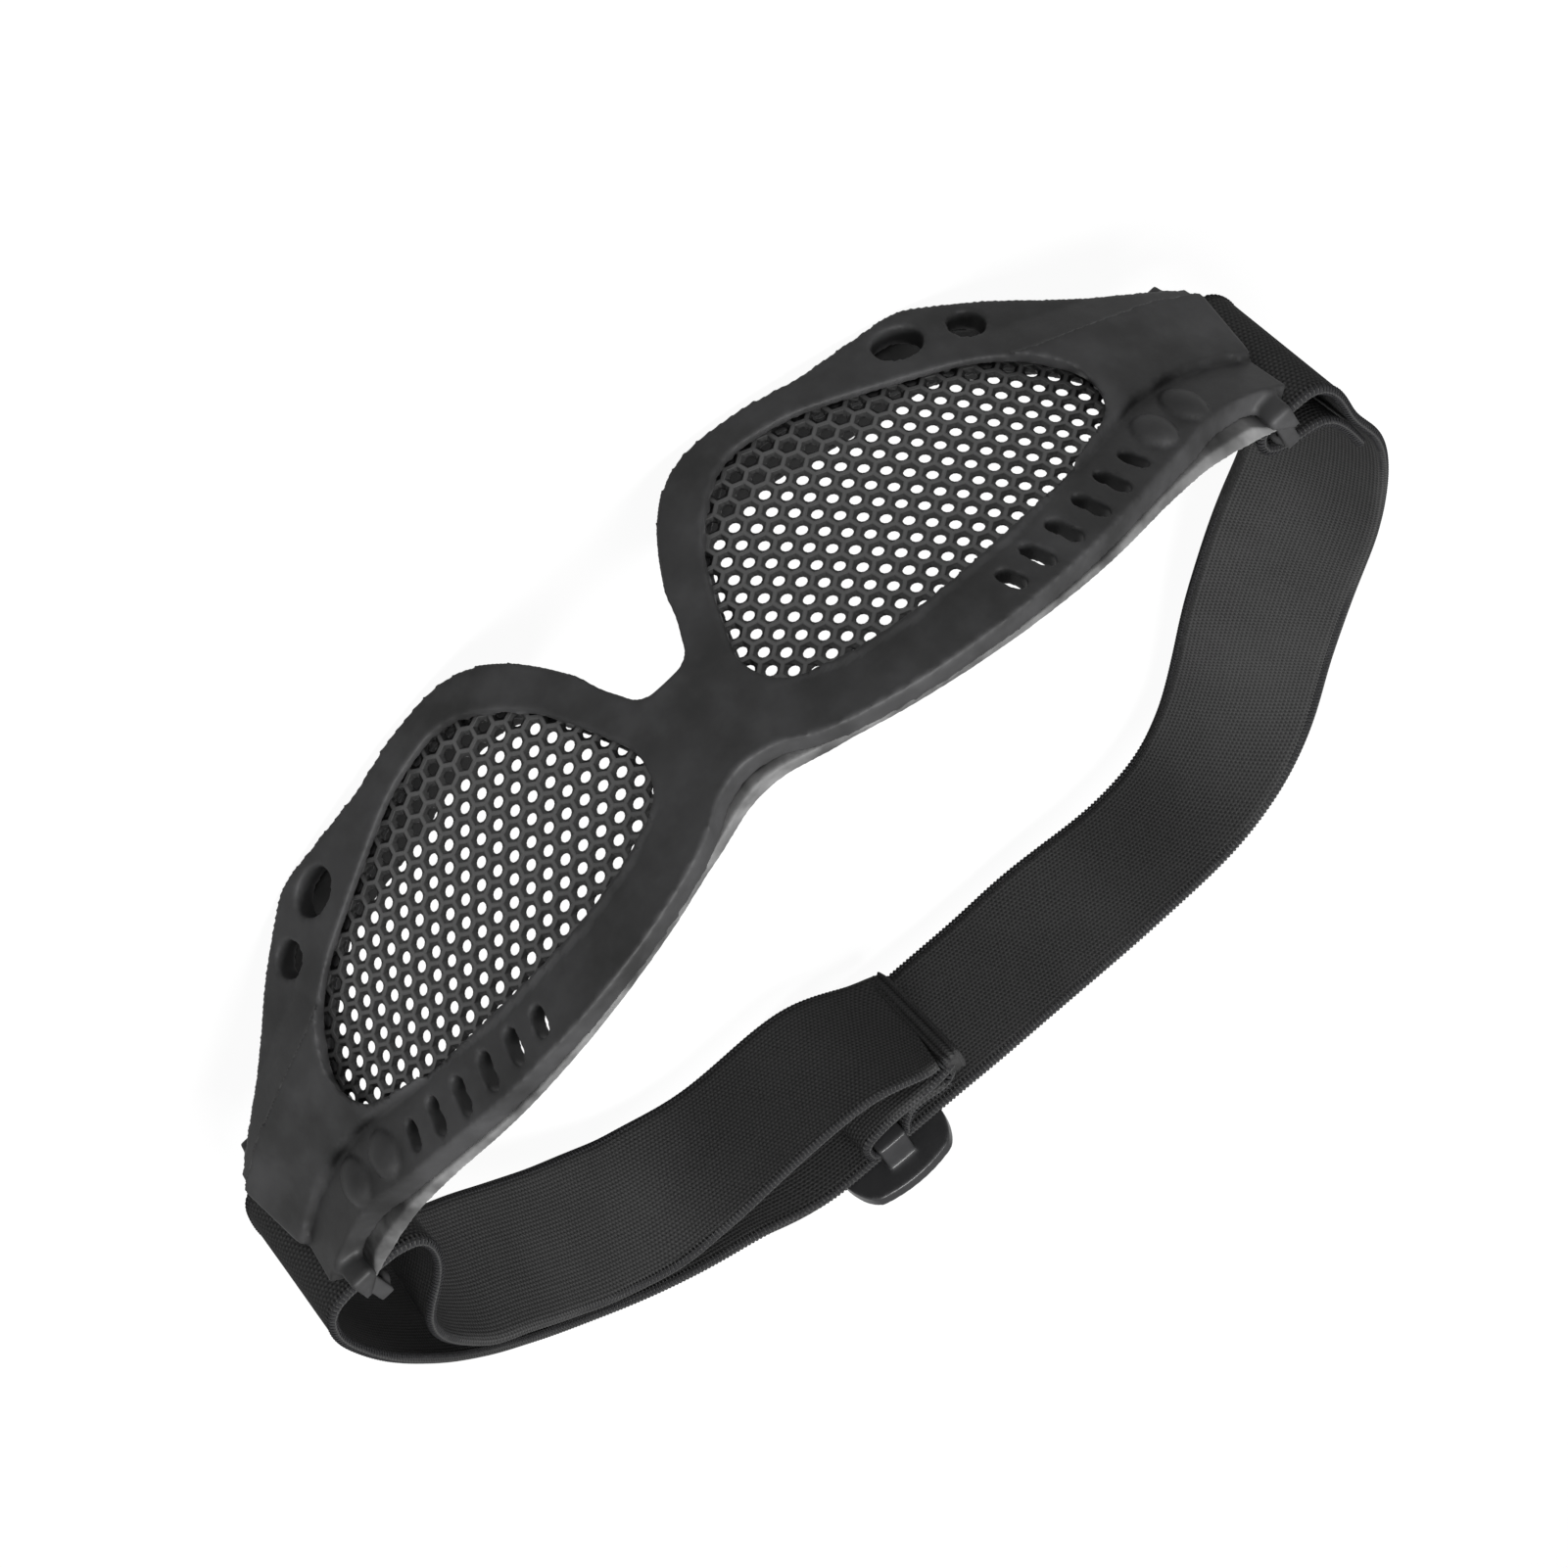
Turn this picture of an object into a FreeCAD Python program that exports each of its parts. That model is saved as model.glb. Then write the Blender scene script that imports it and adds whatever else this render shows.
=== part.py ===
import FreeCAD, Part
import math
import os
from FreeCAD import Placement, Rotation, Vector

# Mesh safety goggles: a moulded rubber front wrapped round an upright cylinder, a soft face
# seal behind it, two perforated steel lenses, and an elastic strap with a three-bar slider.
# Millimetres. +X is the wearer's left, -Y the front, +Z up. The origin is the top of the nose
# arch, on the mid-plane, on the cylinder in which both lenses lie.

doc = FreeCAD.newDocument("MeshGoggles")

# Driving dimensions
SIZES = [
    ("wrap_radius", 121.0),
    ("front_proud", 2.0),
    ("plate_wall", 3.6),
    ("seal_wall", 2.2),
    ("seal_depth", 6.0),
    ("seal_slant", 5.5),
    ("lens_sheet", 0.6),
    ("lens_bite", 2.0),
    ("groove_gap", 0.15),
    ("hole_pitch", 3.0),
    ("hole_width", 2.3),
    ("hole_margin", 1.0),
    ("row_lean", 12.4),
    ("vent_width", 2.1),
    ("vent_lean", 17.0),
    ("bump_rise", 0.7),
    ("wedge_rise", 1.0),
    ("end_run", 93.4),
    ("bar_width", 3.6),
    ("bar_wall", 2.5),
    ("bar_run", 95.07),
    ("bar_depth", 5.35),
    ("slot_spare", 1.0),
    ("bridge_height", 2.1),
    ("strap_width", 23.5),
    ("strap_thick", 1.4),
    ("strap_gap", 0.3),
    ("strap_mid", -1.2),
    ("rear_drop", 10.0),
    ("slider_run", 38.2),
    ("slider_length", 18.5),
    ("slider_rail", 3.2),
    ("slider_wall", 2.4),
    ("slider_bar", 3.4),
    ("loop_bar", 5.0),
    ("hem_length", 2.4),
]
sheet = doc.addObject("Spreadsheet::Sheet", "Sizes")
for row, (alias, value) in enumerate(SIZES, start=1):
    sheet.set(f"A{row}", alias)
    sheet.set(f"B{row}", str(value))
    sheet.setAlias(f"B{row}", alias)
doc.recompute()


def size(alias):
    return float(sheet.get(alias))


WRAP = size("wrap_radius")
AXIS_UP = Vector(0, 0, 1)
REACH = 80.0  # how far a cut runs past what it cuts
BIG = 400.0


def bind(thing, **cells):
    """Ties properties of a document object to the sheet."""
    for prop, expression in cells.items():
        thing.setExpression(prop, expression)
    return thing


def shape_object(name, shape):
    thing = doc.addObject("Part::Feature", name)
    thing.Shape = shape
    return thing


def boolean(kind, name, base, tool):
    thing = doc.addObject(f"Part::{kind}", name)
    thing.Base = base
    thing.Tool = tool
    return thing


def join(name, pieces):
    thing = doc.addObject("Part::MultiFuse", name)
    thing.Shapes = pieces
    return thing


def wrap_cylinder(name, radius):
    """A cylinder on the wrap's axis, behind the face, with its radius from the sheet."""
    thing = doc.addObject("Part::Cylinder", name)
    thing.Height = BIG
    bind(thing, Radius=radius)
    bind(thing, **{".Placement.Base.y": "Sizes.wrap_radius"})
    thing.Placement.Base.z = -BIG / 2
    return thing


def extrude(name, outline):
    """Pulls a front-view outline through the wrap, the way the rubber leaves its mould."""
    thing = doc.addObject("Part::Extrusion", name)
    thing.Base = outline
    thing.DirMode = "Custom"
    thing.Dir = Vector(0, 1, 0)
    thing.LengthFwd = REACH
    thing.LengthRev = REACH
    thing.Solid = True
    return thing


def arc_from(start, end, tangent):
    """An arc between two points that leaves the first along a tangent, or a line if straight."""
    chord = end - start
    lean = math.atan2(chord.x * tangent.z - chord.z * tangent.x, chord.dot(tangent))
    if abs(lean) < 1e-4:
        return Part.makeLine(start, end)
    rise = Vector(-chord.z, 0, chord.x) * (math.tan(lean / 2) / 2)
    return Part.Arc(start, (start + end) / 2 + rise, end).toShape()


def two_arcs(start, end, tangent_in, tangent_out):
    """Two arcs that meet smoothly and join two points along given tangents."""
    span = end - start
    reach = span.dot(tangent_in + tangent_out)
    bend = 2 * (1 - tangent_in.dot(tangent_out))
    if bend < 1e-9:
        arm = span.dot(span) / (2 * reach)
    else:
        arm = (math.sqrt(reach * reach + bend * span.dot(span)) - reach) / bend
    middle = (start + tangent_in * arm + end - tangent_out * arm) / 2
    first = arc_from(start, middle, tangent_in)
    second = arc_from(end, middle, -tangent_out)
    return [first, second]


def smooth_line(points, closed=False):
    """Edges of a smooth line of arcs through points of the front view."""
    spots = [Vector(x, 0, z) for x, z in points]
    count = len(spots)
    tangents = []
    for k in range(count):
        if not closed and k in (0, count - 1):
            tangents.append(None)
            continue
        before = spots[k] - spots[k - 1]
        after = spots[(k + 1) % count] - spots[k]
        tangent = before / before.Length**2 + after / after.Length**2
        tangents.append(tangent / tangent.Length)
    if not closed:
        for end, beside in ((0, 1), (count - 1, count - 2)):
            chord = (spots[beside] - spots[end]).normalize()
            tangents[end] = chord * (2 * chord.dot(tangents[beside])) - tangents[beside]
    edges = []
    for k in range(count if closed else count - 1):
        after = (k + 1) % count
        edges += two_arcs(spots[k], spots[after], tangents[k], tangents[after])
    return edges


def mirrored(points):
    return [(-x, z) for x, z in reversed(points)]


def line(a, b):
    return Part.makeLine(Vector(a[0], 0, a[1]), Vector(b[0], 0, b[1]))


def on_front(run, proud=None):
    """X of a point whose distance round the wrap from the mid-plane is run."""
    proud = size("front_proud") if proud is None else proud
    return (WRAP + proud) * math.sin(run / WRAP)


# Front-view outlines of the right half of the picture, as (run round the wrap, height)
BROW = [(0, 17.0), (3.6, 17.7), (10, 21.3), (20, 24.0), (31, 24.8), (45.7, 23.2),
        (70, 14.9), (80, 10.5), (98, 9.8)]
CHEEK = [(98, -11.6), (80, -16.3), (62, -24.6), (56, -26.9), (50, -26.3), (40, -25.3),
         (29, -26.0), (20, -25.0), (8.2, -11.9), (5.6, -4.4), (3.4, -0.7), (0, -0.1)]
SEAL_BROW = [(0, 18.4), (10, 20.9), (20, 23.4), (31, 24.5), (45.7, 23.3), (70, 15.2), (80, 11.6)]
LENS = [(8.8, 6.0), (10.5, 10.5), (17.9, 14.1), (28, 15.2), (45, 13.0), (62.9, 7.2),
        (69.4, 2.6), (70.4, -3.5), (66.5, -9.0), (44.3, -18.3), (33, -21.1), (25, -20.8),
        (18.5, -16.0), (10.8, -2.2)]
WEDGE_RIDGE = [(58, 9.6), (64, 6.9), (71.4, 3.6), (80, 1.5), (88.6, 1.0), (98, 2.9)]
WEDGE_FOOT = [(98, -9.2), (88, -10.4), (75, -10.0), (66, -10.4), (58, -13.5)]


def half_outline(points):
    return [(on_front(run), height) for run, height in points]


def closed_outline(top, low):
    """A face between a top and a bottom line, each mirrored about the mid-plane."""
    top_all = mirrored(top)[:-1] + top
    low_all = low + mirrored(low)[1:]
    edges = smooth_line(top_all) + [line(top_all[-1], low_all[0])]
    edges += smooth_line(low_all) + [line(low_all[-1], top_all[0])]
    return Part.Face(Part.Wire(Part.__sortEdges__(edges)))


def ring_face(points):
    """The face inside a smooth closed line."""
    return Part.Face(Part.Wire(Part.__sortEdges__(smooth_line(points, closed=True))))


def moved_out(points, by, closed=False):
    """The points of a clockwise or left-to-right line, each moved square to it by a distance."""
    count = len(points)
    moved = []
    for k, (x, z) in enumerate(points):
        before = points[k - 1] if closed or k > 0 else points[k]
        after = points[(k + 1) % count] if closed or k < count - 1 else points[k]
        dx, dz = after[0] - before[0], after[1] - before[1]
        reach = math.hypot(dx, dz)
        moved.append((x - dz / reach * by, z + dx / reach * by))
    return moved


def flip(points, side):
    return [(side * x, z) for x, z in points]


# Plate: the rubber front
outline = shape_object(
    "FrontOutline", closed_outline(half_outline(BROW), half_outline(CHEEK))
)
front_surface = wrap_cylinder("FrontSurface", "Sizes.wrap_radius + Sizes.front_proud")
plate_back = wrap_cylinder(
    "PlateBack", "Sizes.wrap_radius + Sizes.front_proud - Sizes.plate_wall"
)
plate_shell = boolean("Cut", "PlateShell", front_surface, plate_back)
plate_block = extrude("PlateBlock", outline)
front_half = doc.addObject("Part::Box", "FrontHalf")
front_half.Length = BIG
front_half.Width = BIG
front_half.Height = BIG
front_half.Placement.Base = Vector(-BIG / 2, 0, -BIG / 2)
bind(front_half, **{".Placement.Base.y": f"Sizes.wrap_radius - {BIG}"})
shell_front = boolean("Common", "ShellFront", plate_shell, front_half)
plate = boolean("Common", "Plate", plate_block, shell_front)


def wrap_placement(run, height, outward=0.0, lean=0.0):
    """A frame on the wrap: X along it, Y towards the face, Z up, leaned in the surface."""
    angle = run / WRAP
    radius = WRAP + outward
    place = Vector(radius * math.sin(angle), WRAP - radius * math.cos(angle), height)
    turn = Rotation(AXIS_UP, math.degrees(angle))
    return Placement(place, turn * Rotation(Vector(0, 1, 0), lean))


# Strap bars: a post behind each temple end, held by a bridge over each edge of the strap
POST = wrap_placement(size("bar_run"), 0, -size("bar_depth")).Base


def strap_post(side, name):
    half_tall = (size("strap_width") + size("slot_spare")) / 2
    bridge = size("bridge_height")
    wide = size("bar_width")
    front = POST.y - size("bar_wall") / 2
    stem_front = front - 7.0
    back = front + size("bar_wall")
    left = side * POST.x - wide / 2
    pieces = []
    post = doc.addObject("Part::Box", name + "Post")
    bind(
        post,
        Length="Sizes.bar_width",
        Width="Sizes.bar_wall",
        Height="Sizes.strap_width + Sizes.slot_spare + 2 * Sizes.bridge_height",
    )
    post.Placement.Base = Vector(left, front, size("strap_mid") - half_tall - bridge)
    pieces.append(post)
    for word, low in (("Top", half_tall), ("Low", -half_tall - bridge)):
        arm = doc.addObject("Part::Box", name + word + "Bridge")
        bind(arm, Length="Sizes.bar_width", Height="Sizes.bridge_height")
        arm.Width = back - stem_front
        arm.Placement.Base = Vector(left, stem_front, size("strap_mid") + low)
        stem = doc.addObject("Part::Box", name + word + "Stem")
        stem_tall = bridge + 4.0
        stem_low = low if word == "Low" else low - 4.0
        bind(stem, Length="Sizes.bar_width")
        stem.Width = 3.0
        stem.Height = stem_tall
        stem.Placement.Base = Vector(left, stem_front, size("strap_mid") + stem_low)
        pieces += [arm, stem]
    return pieces


def end_trim(side, name):
    """Everything past the end edge, cut square to the wrap."""
    block = doc.addObject("Part::Box", name)
    block.Length = REACH
    block.Width = REACH
    block.Height = REACH
    shift = 0 if side > 0 else -REACH
    block.Placement = wrap_placement(side * size("end_run"), 0) * Placement(
        Vector(shift, -REACH / 2, -REACH / 2), Rotation()
    )
    return block


# Vents: six leaning slots in each brow, with (run, height, length)
VENTS = [(40.4, 19.6, 4.8), (45.2, 18.6, 5.6), (50.2, 17.4, 5.9), (55.4, 16.0, 5.9),
         (60.2, 14.1, 5.8), (65.0, 12.3, 4.7)]
# Blind oval bumps beside them, and the open holes in each cheek: (run, height, wide, tall)
BUMPS = [(70.5, 9.5, 4.4, 6.3), (77.3, 7.0, 4.6, 6.5)]
CHEEK_HOLES = [(53.0, -22.0, 7.3, 5.8), (62.5, -19.9, 5.2, 5.1)]


def stadium(length, width, height):
    """An upright slot-shaped bar along local Y, its ends drawn in to a narrow flat."""
    side = width / 2
    tip = width / 5
    half = length / 2
    shoulder = half - side
    corners = [(-side, -shoulder), (-side, shoulder), (-tip, half), (tip, half), (side, shoulder),
               (side, -shoulder), (tip, -half), (-tip, -half)]
    corners = [Vector(x, 0, z) for x, z in corners + corners[:1]]
    return Part.Face(Part.makePolygon(corners)).extrude(Vector(0, height, 0))


def oval(wide, tall, height):
    """An upright elliptical bar along local Y, pushed towards the face."""
    ellipse = Part.Ellipse(Vector(0, 0, 0), max(wide, tall) / 2, min(wide, tall) / 2)
    solid = Part.Face(Part.Wire(ellipse.toShape())).extrude(Vector(0, 0, height))
    quarter = Rotation(AXIS_UP, 90 if tall > wide else 0)
    solid.Placement = Placement(Vector(0, 0, 0), Rotation(Vector(1, 0, 0), -90) * quarter)
    return solid


def placed(solid, frame):
    moved = solid.copy()
    moved.Placement = frame * moved.Placement
    return moved


def piercings():
    """Every hole through the plate outside the lenses, as one compound."""
    cuts = []
    deep = 16.0
    back = Placement(Vector(0, -deep / 2, 0), Rotation())
    for side in (-1, 1):
        for run, height, length in VENTS:
            frame = wrap_placement(side * run, height, 0.0, side * size("vent_lean"))
            cuts.append(placed(stadium(length, size("vent_width"), deep), frame * back))
        for run, height, wide, tall in CHEEK_HOLES:
            frame = wrap_placement(side * run, height)
            cuts.append(placed(oval(wide, tall, deep), frame * back))
    return Part.makeCompound(cuts)


def bump_shapes():
    raised = []
    sunk = 1.0
    for side in (-1, 1):
        for run, height, wide, tall in BUMPS:
            outward = size("front_proud") + size("bump_rise")
            frame = wrap_placement(side * run, height, outward, side * size("vent_lean"))
            raised.append(placed(oval(wide, tall, sunk + size("bump_rise")), frame))
    return raised


# Wedge: the raised temple panel between the lens and the strap slot
def wedge_face(side):
    ridge = flip([(on_front(s), v) for s, v in WEDGE_RIDGE], side)
    foot = flip([(on_front(s), v) for s, v in WEDGE_FOOT], side)
    edges = smooth_line(ridge) + [line(ridge[-1], foot[0])]
    edges += smooth_line(foot) + [line(foot[-1], ridge[0])]
    return Part.Face(Part.Wire(Part.__sortEdges__(edges)))


wedge_surface = wrap_cylinder(
    "WedgeSurface", "Sizes.wrap_radius + Sizes.front_proud + Sizes.wedge_rise"
)
wedge_shell = boolean("Cut", "WedgeShell", wedge_surface, plate_back)
wedge_front = boolean("Common", "WedgeFront", wedge_shell, front_half)

lens_faces = {}
wedges = []
for side, word in ((1, "Left"), (-1, "Right")):
    lens_points = flip([(on_front(s, 0.0), v) for s, v in LENS], side)
    lens_faces[word] = shape_object(
        "Opening" + word, ring_face(lens_points)
    )
    wedge_outline = shape_object("WedgeOutline" + word, wedge_face(side))
    wedge_block = extrude("WedgeBlock" + word, wedge_outline)
    wedges.append(boolean("Common", "Wedge" + word, wedge_block, wedge_front))

bumps = [shape_object(f"Bump{n}", s) for n, s in enumerate(bump_shapes(), start=1)]
raised_front = join("RaisedFront", [plate] + wedges + bumps)
trims = join("EndTrims", [end_trim(1, "TrimLeft"), end_trim(-1, "TrimRight")])
trimmed_front = boolean("Cut", "TrimmedFront", raised_front, trims)
posts = strap_post(1, "Left") + strap_post(-1, "Right")
solid_front = join("SolidFront", [trimmed_front] + posts)

# Openings, groove, slots and holes
opening_blocks = [extrude("OpeningBlock" + word, face) for word, face in lens_faces.items()]
openings = join("Openings", opening_blocks)
holes = shape_object("VentsAndCheekHoles", piercings())

groove_outer = wrap_cylinder(
    "GrooveOuter", "Sizes.wrap_radius + Sizes.lens_sheet / 2 + Sizes.groove_gap"
)
groove_inner = wrap_cylinder(
    "GrooveInner", "Sizes.wrap_radius - Sizes.lens_sheet / 2 - Sizes.groove_gap"
)
groove_shell = boolean("Cut", "GrooveShell", groove_outer, groove_inner)
groove_front = boolean("Common", "GrooveFront", groove_shell, front_half)


def grown(name, side, by):
    """The outline of an opening moved outwards."""
    rim = flip(moved_out([(on_front(s, 0.0), v) for s, v in LENS], by, closed=True), side)
    return shape_object(name, ring_face(rim))


groove_blocks = []
lens_blanks = {}


def sheet_band():
    """The sheet's band before trimming, bent round the wrap in flats too narrow to see."""
    flats = 18
    spread = math.radians(38)
    outer = []
    inner = []
    for k in range(flats + 1):
        angle = spread * (2 * k / flats - 1)
        for points, radius in (
            (outer, WRAP + size("lens_sheet") / 2),
            (inner, WRAP - size("lens_sheet") / 2),
        ):
            points.append(Vector(radius * math.sin(angle), WRAP - radius * math.cos(angle), -REACH))
    corners = outer + inner[::-1] + outer[:1]
    return Part.Face(Part.makePolygon(corners)).extrude(AXIS_UP * (2 * REACH))


sheet_front = shape_object("SheetBand", sheet_band())
for side, word in ((1, "Left"), (-1, "Right")):
    rim = grown("GrooveRim" + word, side, size("lens_bite") + size("groove_gap"))
    groove_block = extrude("GrooveBlock" + word, rim)
    groove_blocks.append(boolean("Common", "Groove" + word, groove_block, groove_front))
    edge = grown("SheetEdge" + word, side, size("lens_bite"))
    blank_block = extrude("SheetBlock" + word, edge)
    lens_blanks[word] = boolean("Common", "Sheet" + word, blank_block, sheet_front)
grooves = join("Grooves", groove_blocks)

cutters = join("FrontCuts", [openings, grooves])
cut_front = boolean("Cut", "CutFront", solid_front, cutters)
frame = boolean("Cut", "Frame", cut_front, holes)
frame.Label = "frame"

# Face seal: the soft skirt behind the plate, deeper at the cheeks than at the brow
SEAL_END = 80.0
seal_top = half_outline(SEAL_BROW)
seal_low = half_outline([(SEAL_END, -16.3)] + [p for p in CHEEK if p[0] < SEAL_END])
seal_face = closed_outline(seal_top, seal_low)


def inside_seal(points, wall):
    """One edge of the seal's inner side, stopping short of the temple end by the wall."""
    end_x = on_front(SEAL_END) - wall
    moved = moved_out(points, -wall)
    kept = [(x, z) for x, z in moved if x < end_x - 1.0]
    cut_short = (end_x, min(moved, key=lambda p: abs(p[0] - end_x))[1])
    return [cut_short] + kept if points[0][0] > 1.0 else kept + [cut_short]


seal_wall = size("seal_wall")
seal_hollow = closed_outline(inside_seal(seal_top, seal_wall), inside_seal(seal_low, seal_wall))
seal_section = shape_object("SealSection", seal_face.cut(seal_hollow))
seal_ring = extrude("SealRing", seal_section)
seal_back = doc.addObject("Part::Cylinder", "SealBack")
seal_back.Height = BIG
bind(
    seal_back,
    Radius="Sizes.wrap_radius + Sizes.front_proud - Sizes.plate_wall - Sizes.seal_depth",
)
slant = Rotation(Vector(1, 0, 0), size("seal_slant"))
seal_back.Placement = Placement(
    Vector(0, WRAP, 0) - slant.multVec(Vector(0, 0, BIG / 2)), slant
)
seal_depth_shell = boolean("Cut", "SealShell", plate_back, seal_back)
seal_front = boolean("Common", "SealFront", seal_depth_shell, front_half)
face_seal = boolean("Common", "FaceSeal", seal_ring, seal_front)
face_seal.Label = "face_seal"


# Lenses: steel sheets punched with a honeycomb whose rows fall towards the temples
def hex_prism(width, deep):
    corner = width / math.sqrt(3)
    points = [
        Vector(corner * math.sin(k * math.pi / 3), -deep / 2, corner * math.cos(k * math.pi / 3))
        for k in range(7)
    ]
    return Part.Face(Part.makePolygon(points)).extrude(Vector(0, deep, 0))


def lens_holes(side, start):
    """Prisms square to the sheet at every lattice point well inside the opening."""
    pitch = size("hole_pitch")
    lean = -side * math.radians(size("row_lean"))
    along = (math.cos(lean), math.sin(lean))
    slanted = (math.cos(lean + math.pi / 3), math.sin(lean + math.pi / 3))
    inside_by = size("hole_width") / math.sqrt(3) + size("hole_margin")
    room = ring_face(flip(moved_out(LENS, -inside_by, closed=True), side))
    prism = hex_prism(size("hole_width"), 4 * size("lens_sheet"))
    turned = Rotation(Vector(0, 1, 0), -math.degrees(lean))
    prisms = []
    span = 30
    for i in range(-span, span + 1):
        for j in range(-span, span + 1):
            run = start[0] + pitch * (i * along[0] + j * slanted[0])
            height = start[1] + pitch * (i * along[1] + j * slanted[1])
            spot = Vector(run, 0, height)
            if not room.BoundBox.isInside(spot) or not room.isInside(spot, 0.001, True):
                continue
            frame_here = wrap_placement(run, height)
            prisms.append(placed(prism, frame_here * Placement(Vector(0, 0, 0), turned)))
    print("lens holes", len(prisms))
    return Part.makeCompound(prisms)


lenses = []
for side, word, start in ((1, "Left", (38.04, -2.08)), (-1, "Right", (-35.05, 0.07))):
    punched = shape_object("Holes" + word, lens_holes(side, start))
    lens = boolean("Cut", "Lens" + word, lens_blanks[word], punched)
    lens.Label = "lens_" + word.lower()
    lenses.append(lens)


# Strap: one webbing strip, cut into the stretches that it is seen as. Each stretch is a
# plan route given half a strip either way, cut to the strip's height, which falls to the rear.
def plan_curve(points):
    curve = Part.BSplineCurve()
    curve.interpolate([Vector(x, y, 0) for x, y in points])
    return curve


TEMPLE_Y = 48.0  # behind here the strap starts to fall
REAR_Y = 122.0  # and here it has fallen all the way


def strap_level(y):
    """Height of the strap's middle, which falls smoothly from the temples to the rear."""
    part_way = min(max((y - TEMPLE_Y) / (REAR_Y - TEMPLE_Y), 0.0), 1.0)
    fallen = part_way * part_way * (3 - 2 * part_way)
    return size("strap_mid") - size("rear_drop") * fallen


def flat_face(*corners):
    return Part.Face(Part.makePolygon(list(corners) + [corners[0]]))


def stretch(name, curve, thickness=None, steps=14, start=None, end=None):
    """One stretch of strap, a strip of flat panels that follows a plan curve."""
    thickness = size("strap_thick") if thickness is None else thickness
    first = curve.parameter(Vector(*start, 0)) if start else curve.FirstParameter
    last = curve.parameter(Vector(*end, 0)) if end else curve.LastParameter
    half = size("strap_width") / 2
    sections = []
    for k in range(steps + 1):
        t = first + (last - first) * k / steps
        point = curve.value(t)
        tangent = curve.tangent(t)[0]
        normal = Vector(-tangent.y, tangent.x, 0) * (thickness / 2)
        low = Vector(0, 0, strap_level(point.y) - half)
        top = Vector(0, 0, strap_level(point.y) + half)
        sections.append(
            [point + normal + low, point + normal + top, point - normal + top, point - normal + low]
        )
    faces = [flat_face(*sections[0]), flat_face(*sections[-1])]
    for near, far in zip(sections, sections[1:]):
        for corner in range(4):
            beside = (corner + 1) % 4
            if corner % 2 == 0:
                faces.append(flat_face(near[corner], near[beside], far[beside], far[corner]))
            else:
                faces.append(flat_face(near[corner], near[beside], far[beside]))
                faces.append(flat_face(near[corner], far[beside], far[corner]))
    shell = Part.makeShell(faces)
    shell.sewShape()
    return shape_object(name, Part.makeSolid(shell))


def straight(a, b):
    return Part.LineSegment(Vector(a[0], a[1], 0), Vector(b[0], b[1], 0))


# Plan routes chosen from the picture. The strap passes between the temple end and its post.
def by_post(points):
    """Plan points given from the middle of the left post."""
    return [(POST.x + x, POST.y + y) for x, y in points]


TEMPLE_TURN = by_post([(-2.6, -2.65), (2.2, -2.75), (6.5, -1.85), (9.3, 1.75)])
GUIDE_START = (-15.0, 130.8)
GUIDE_END = (42.0, 124.8)
OUTER_FRONT = (91.6, 57.5)
OUTER_ROUTE = [(54.0, 119.2), (64.5, 111.0), (74.0, 100.5), (82.4, 88.0), (88.6, 74.0),
               OUTER_FRONT, (92.0, 48.0)]
CURL_START = by_post([(-4.6, -2.35)])[0]
CURL_END = (47.3, 110.0)
CURL_ROUTE = [(74.2, 38.9), (73.8, 43.5), (76.8, 49.5), (81.4, 55.5), (83.5, 63.0),
              (82.6, 72.0), (78.2, 83.0), (72.4, 92.6), (65.2, 101.2), (57.2, 106.9),
              CURL_END]
REAR_FRONT = (-92.0, 58.0)
REAR_ROUTE = [(-91.9, 48.0), REAR_FRONT, (-91.0, 72.0), (-86.5, 86.5), (-78.5, 100.5),
              (-68.0, 113.0), (-55.0, 124.5), (-42.0, 130.2), (-28.0, 131.6)]
SEWN_END = flip(by_post([(8.4, 15.75), (7.8, 9.75), (4.8, 5.4), (0.0, 3.2), (-3.2, 0.5)]), -1)

guide_dir = Vector(GUIDE_END[0] - GUIDE_START[0], GUIDE_END[1] - GUIDE_START[1], 0)
guide_dir.normalize()


def along_guide(point, distance):
    """A plan point moved along the straight stretch."""
    return (point[0] + guide_dir.x * distance, point[1] + guide_dir.y * distance)


# The slider sits on the straight stretch, with its middle bar towards the head
SLIDER_AT = along_guide(GUIDE_START, size("slider_run"))
STRAP_CLEAR = size("strap_thick") / 2 + size("strap_gap")
LOOP_BAR_OUT = STRAP_CLEAR + size("strap_thick") + size("strap_gap") + size("slider_wall") / 2
HEM_AT = -13.5
HEM_GAP = 0.2
HEM_OUT = 5.2
LAYER = size("strap_thick") + 0.4


def by_slider(along, inward):
    """A plan point by its distance from the slider along the strap and towards the head."""
    x, y = along_guide(SLIDER_AT, along)
    return (x + guide_dir.y * inward, y - guide_dir.x * inward)


# Left and right are the wearer's: the strap is sewn on at the right and adjusts at the left
PAST_END = 8.0
PANEL_END = by_slider(HEM_AT, HEM_OUT + 2 * LAYER)
PANEL_ROUTE = [(38.0, 111.0), (28.0, 111.6), (19.0, 113.2),
               by_slider(HEM_AT + 3.5, HEM_OUT + 2 * LAYER + 0.9), PANEL_END]
right_points = SEWN_END + flip(TEMPLE_TURN, -1) + REAR_ROUTE
right_points += [GUIDE_START, along_guide(GUIDE_START, PAST_END)]
right_curve = plan_curve(right_points)
left_points = [along_guide(GUIDE_END, -PAST_END), GUIDE_END] + OUTER_ROUTE
left_points += TEMPLE_TURN[::-1] + [CURL_START] + CURL_ROUTE + PANEL_ROUTE
left_curve = plan_curve(left_points)

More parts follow.
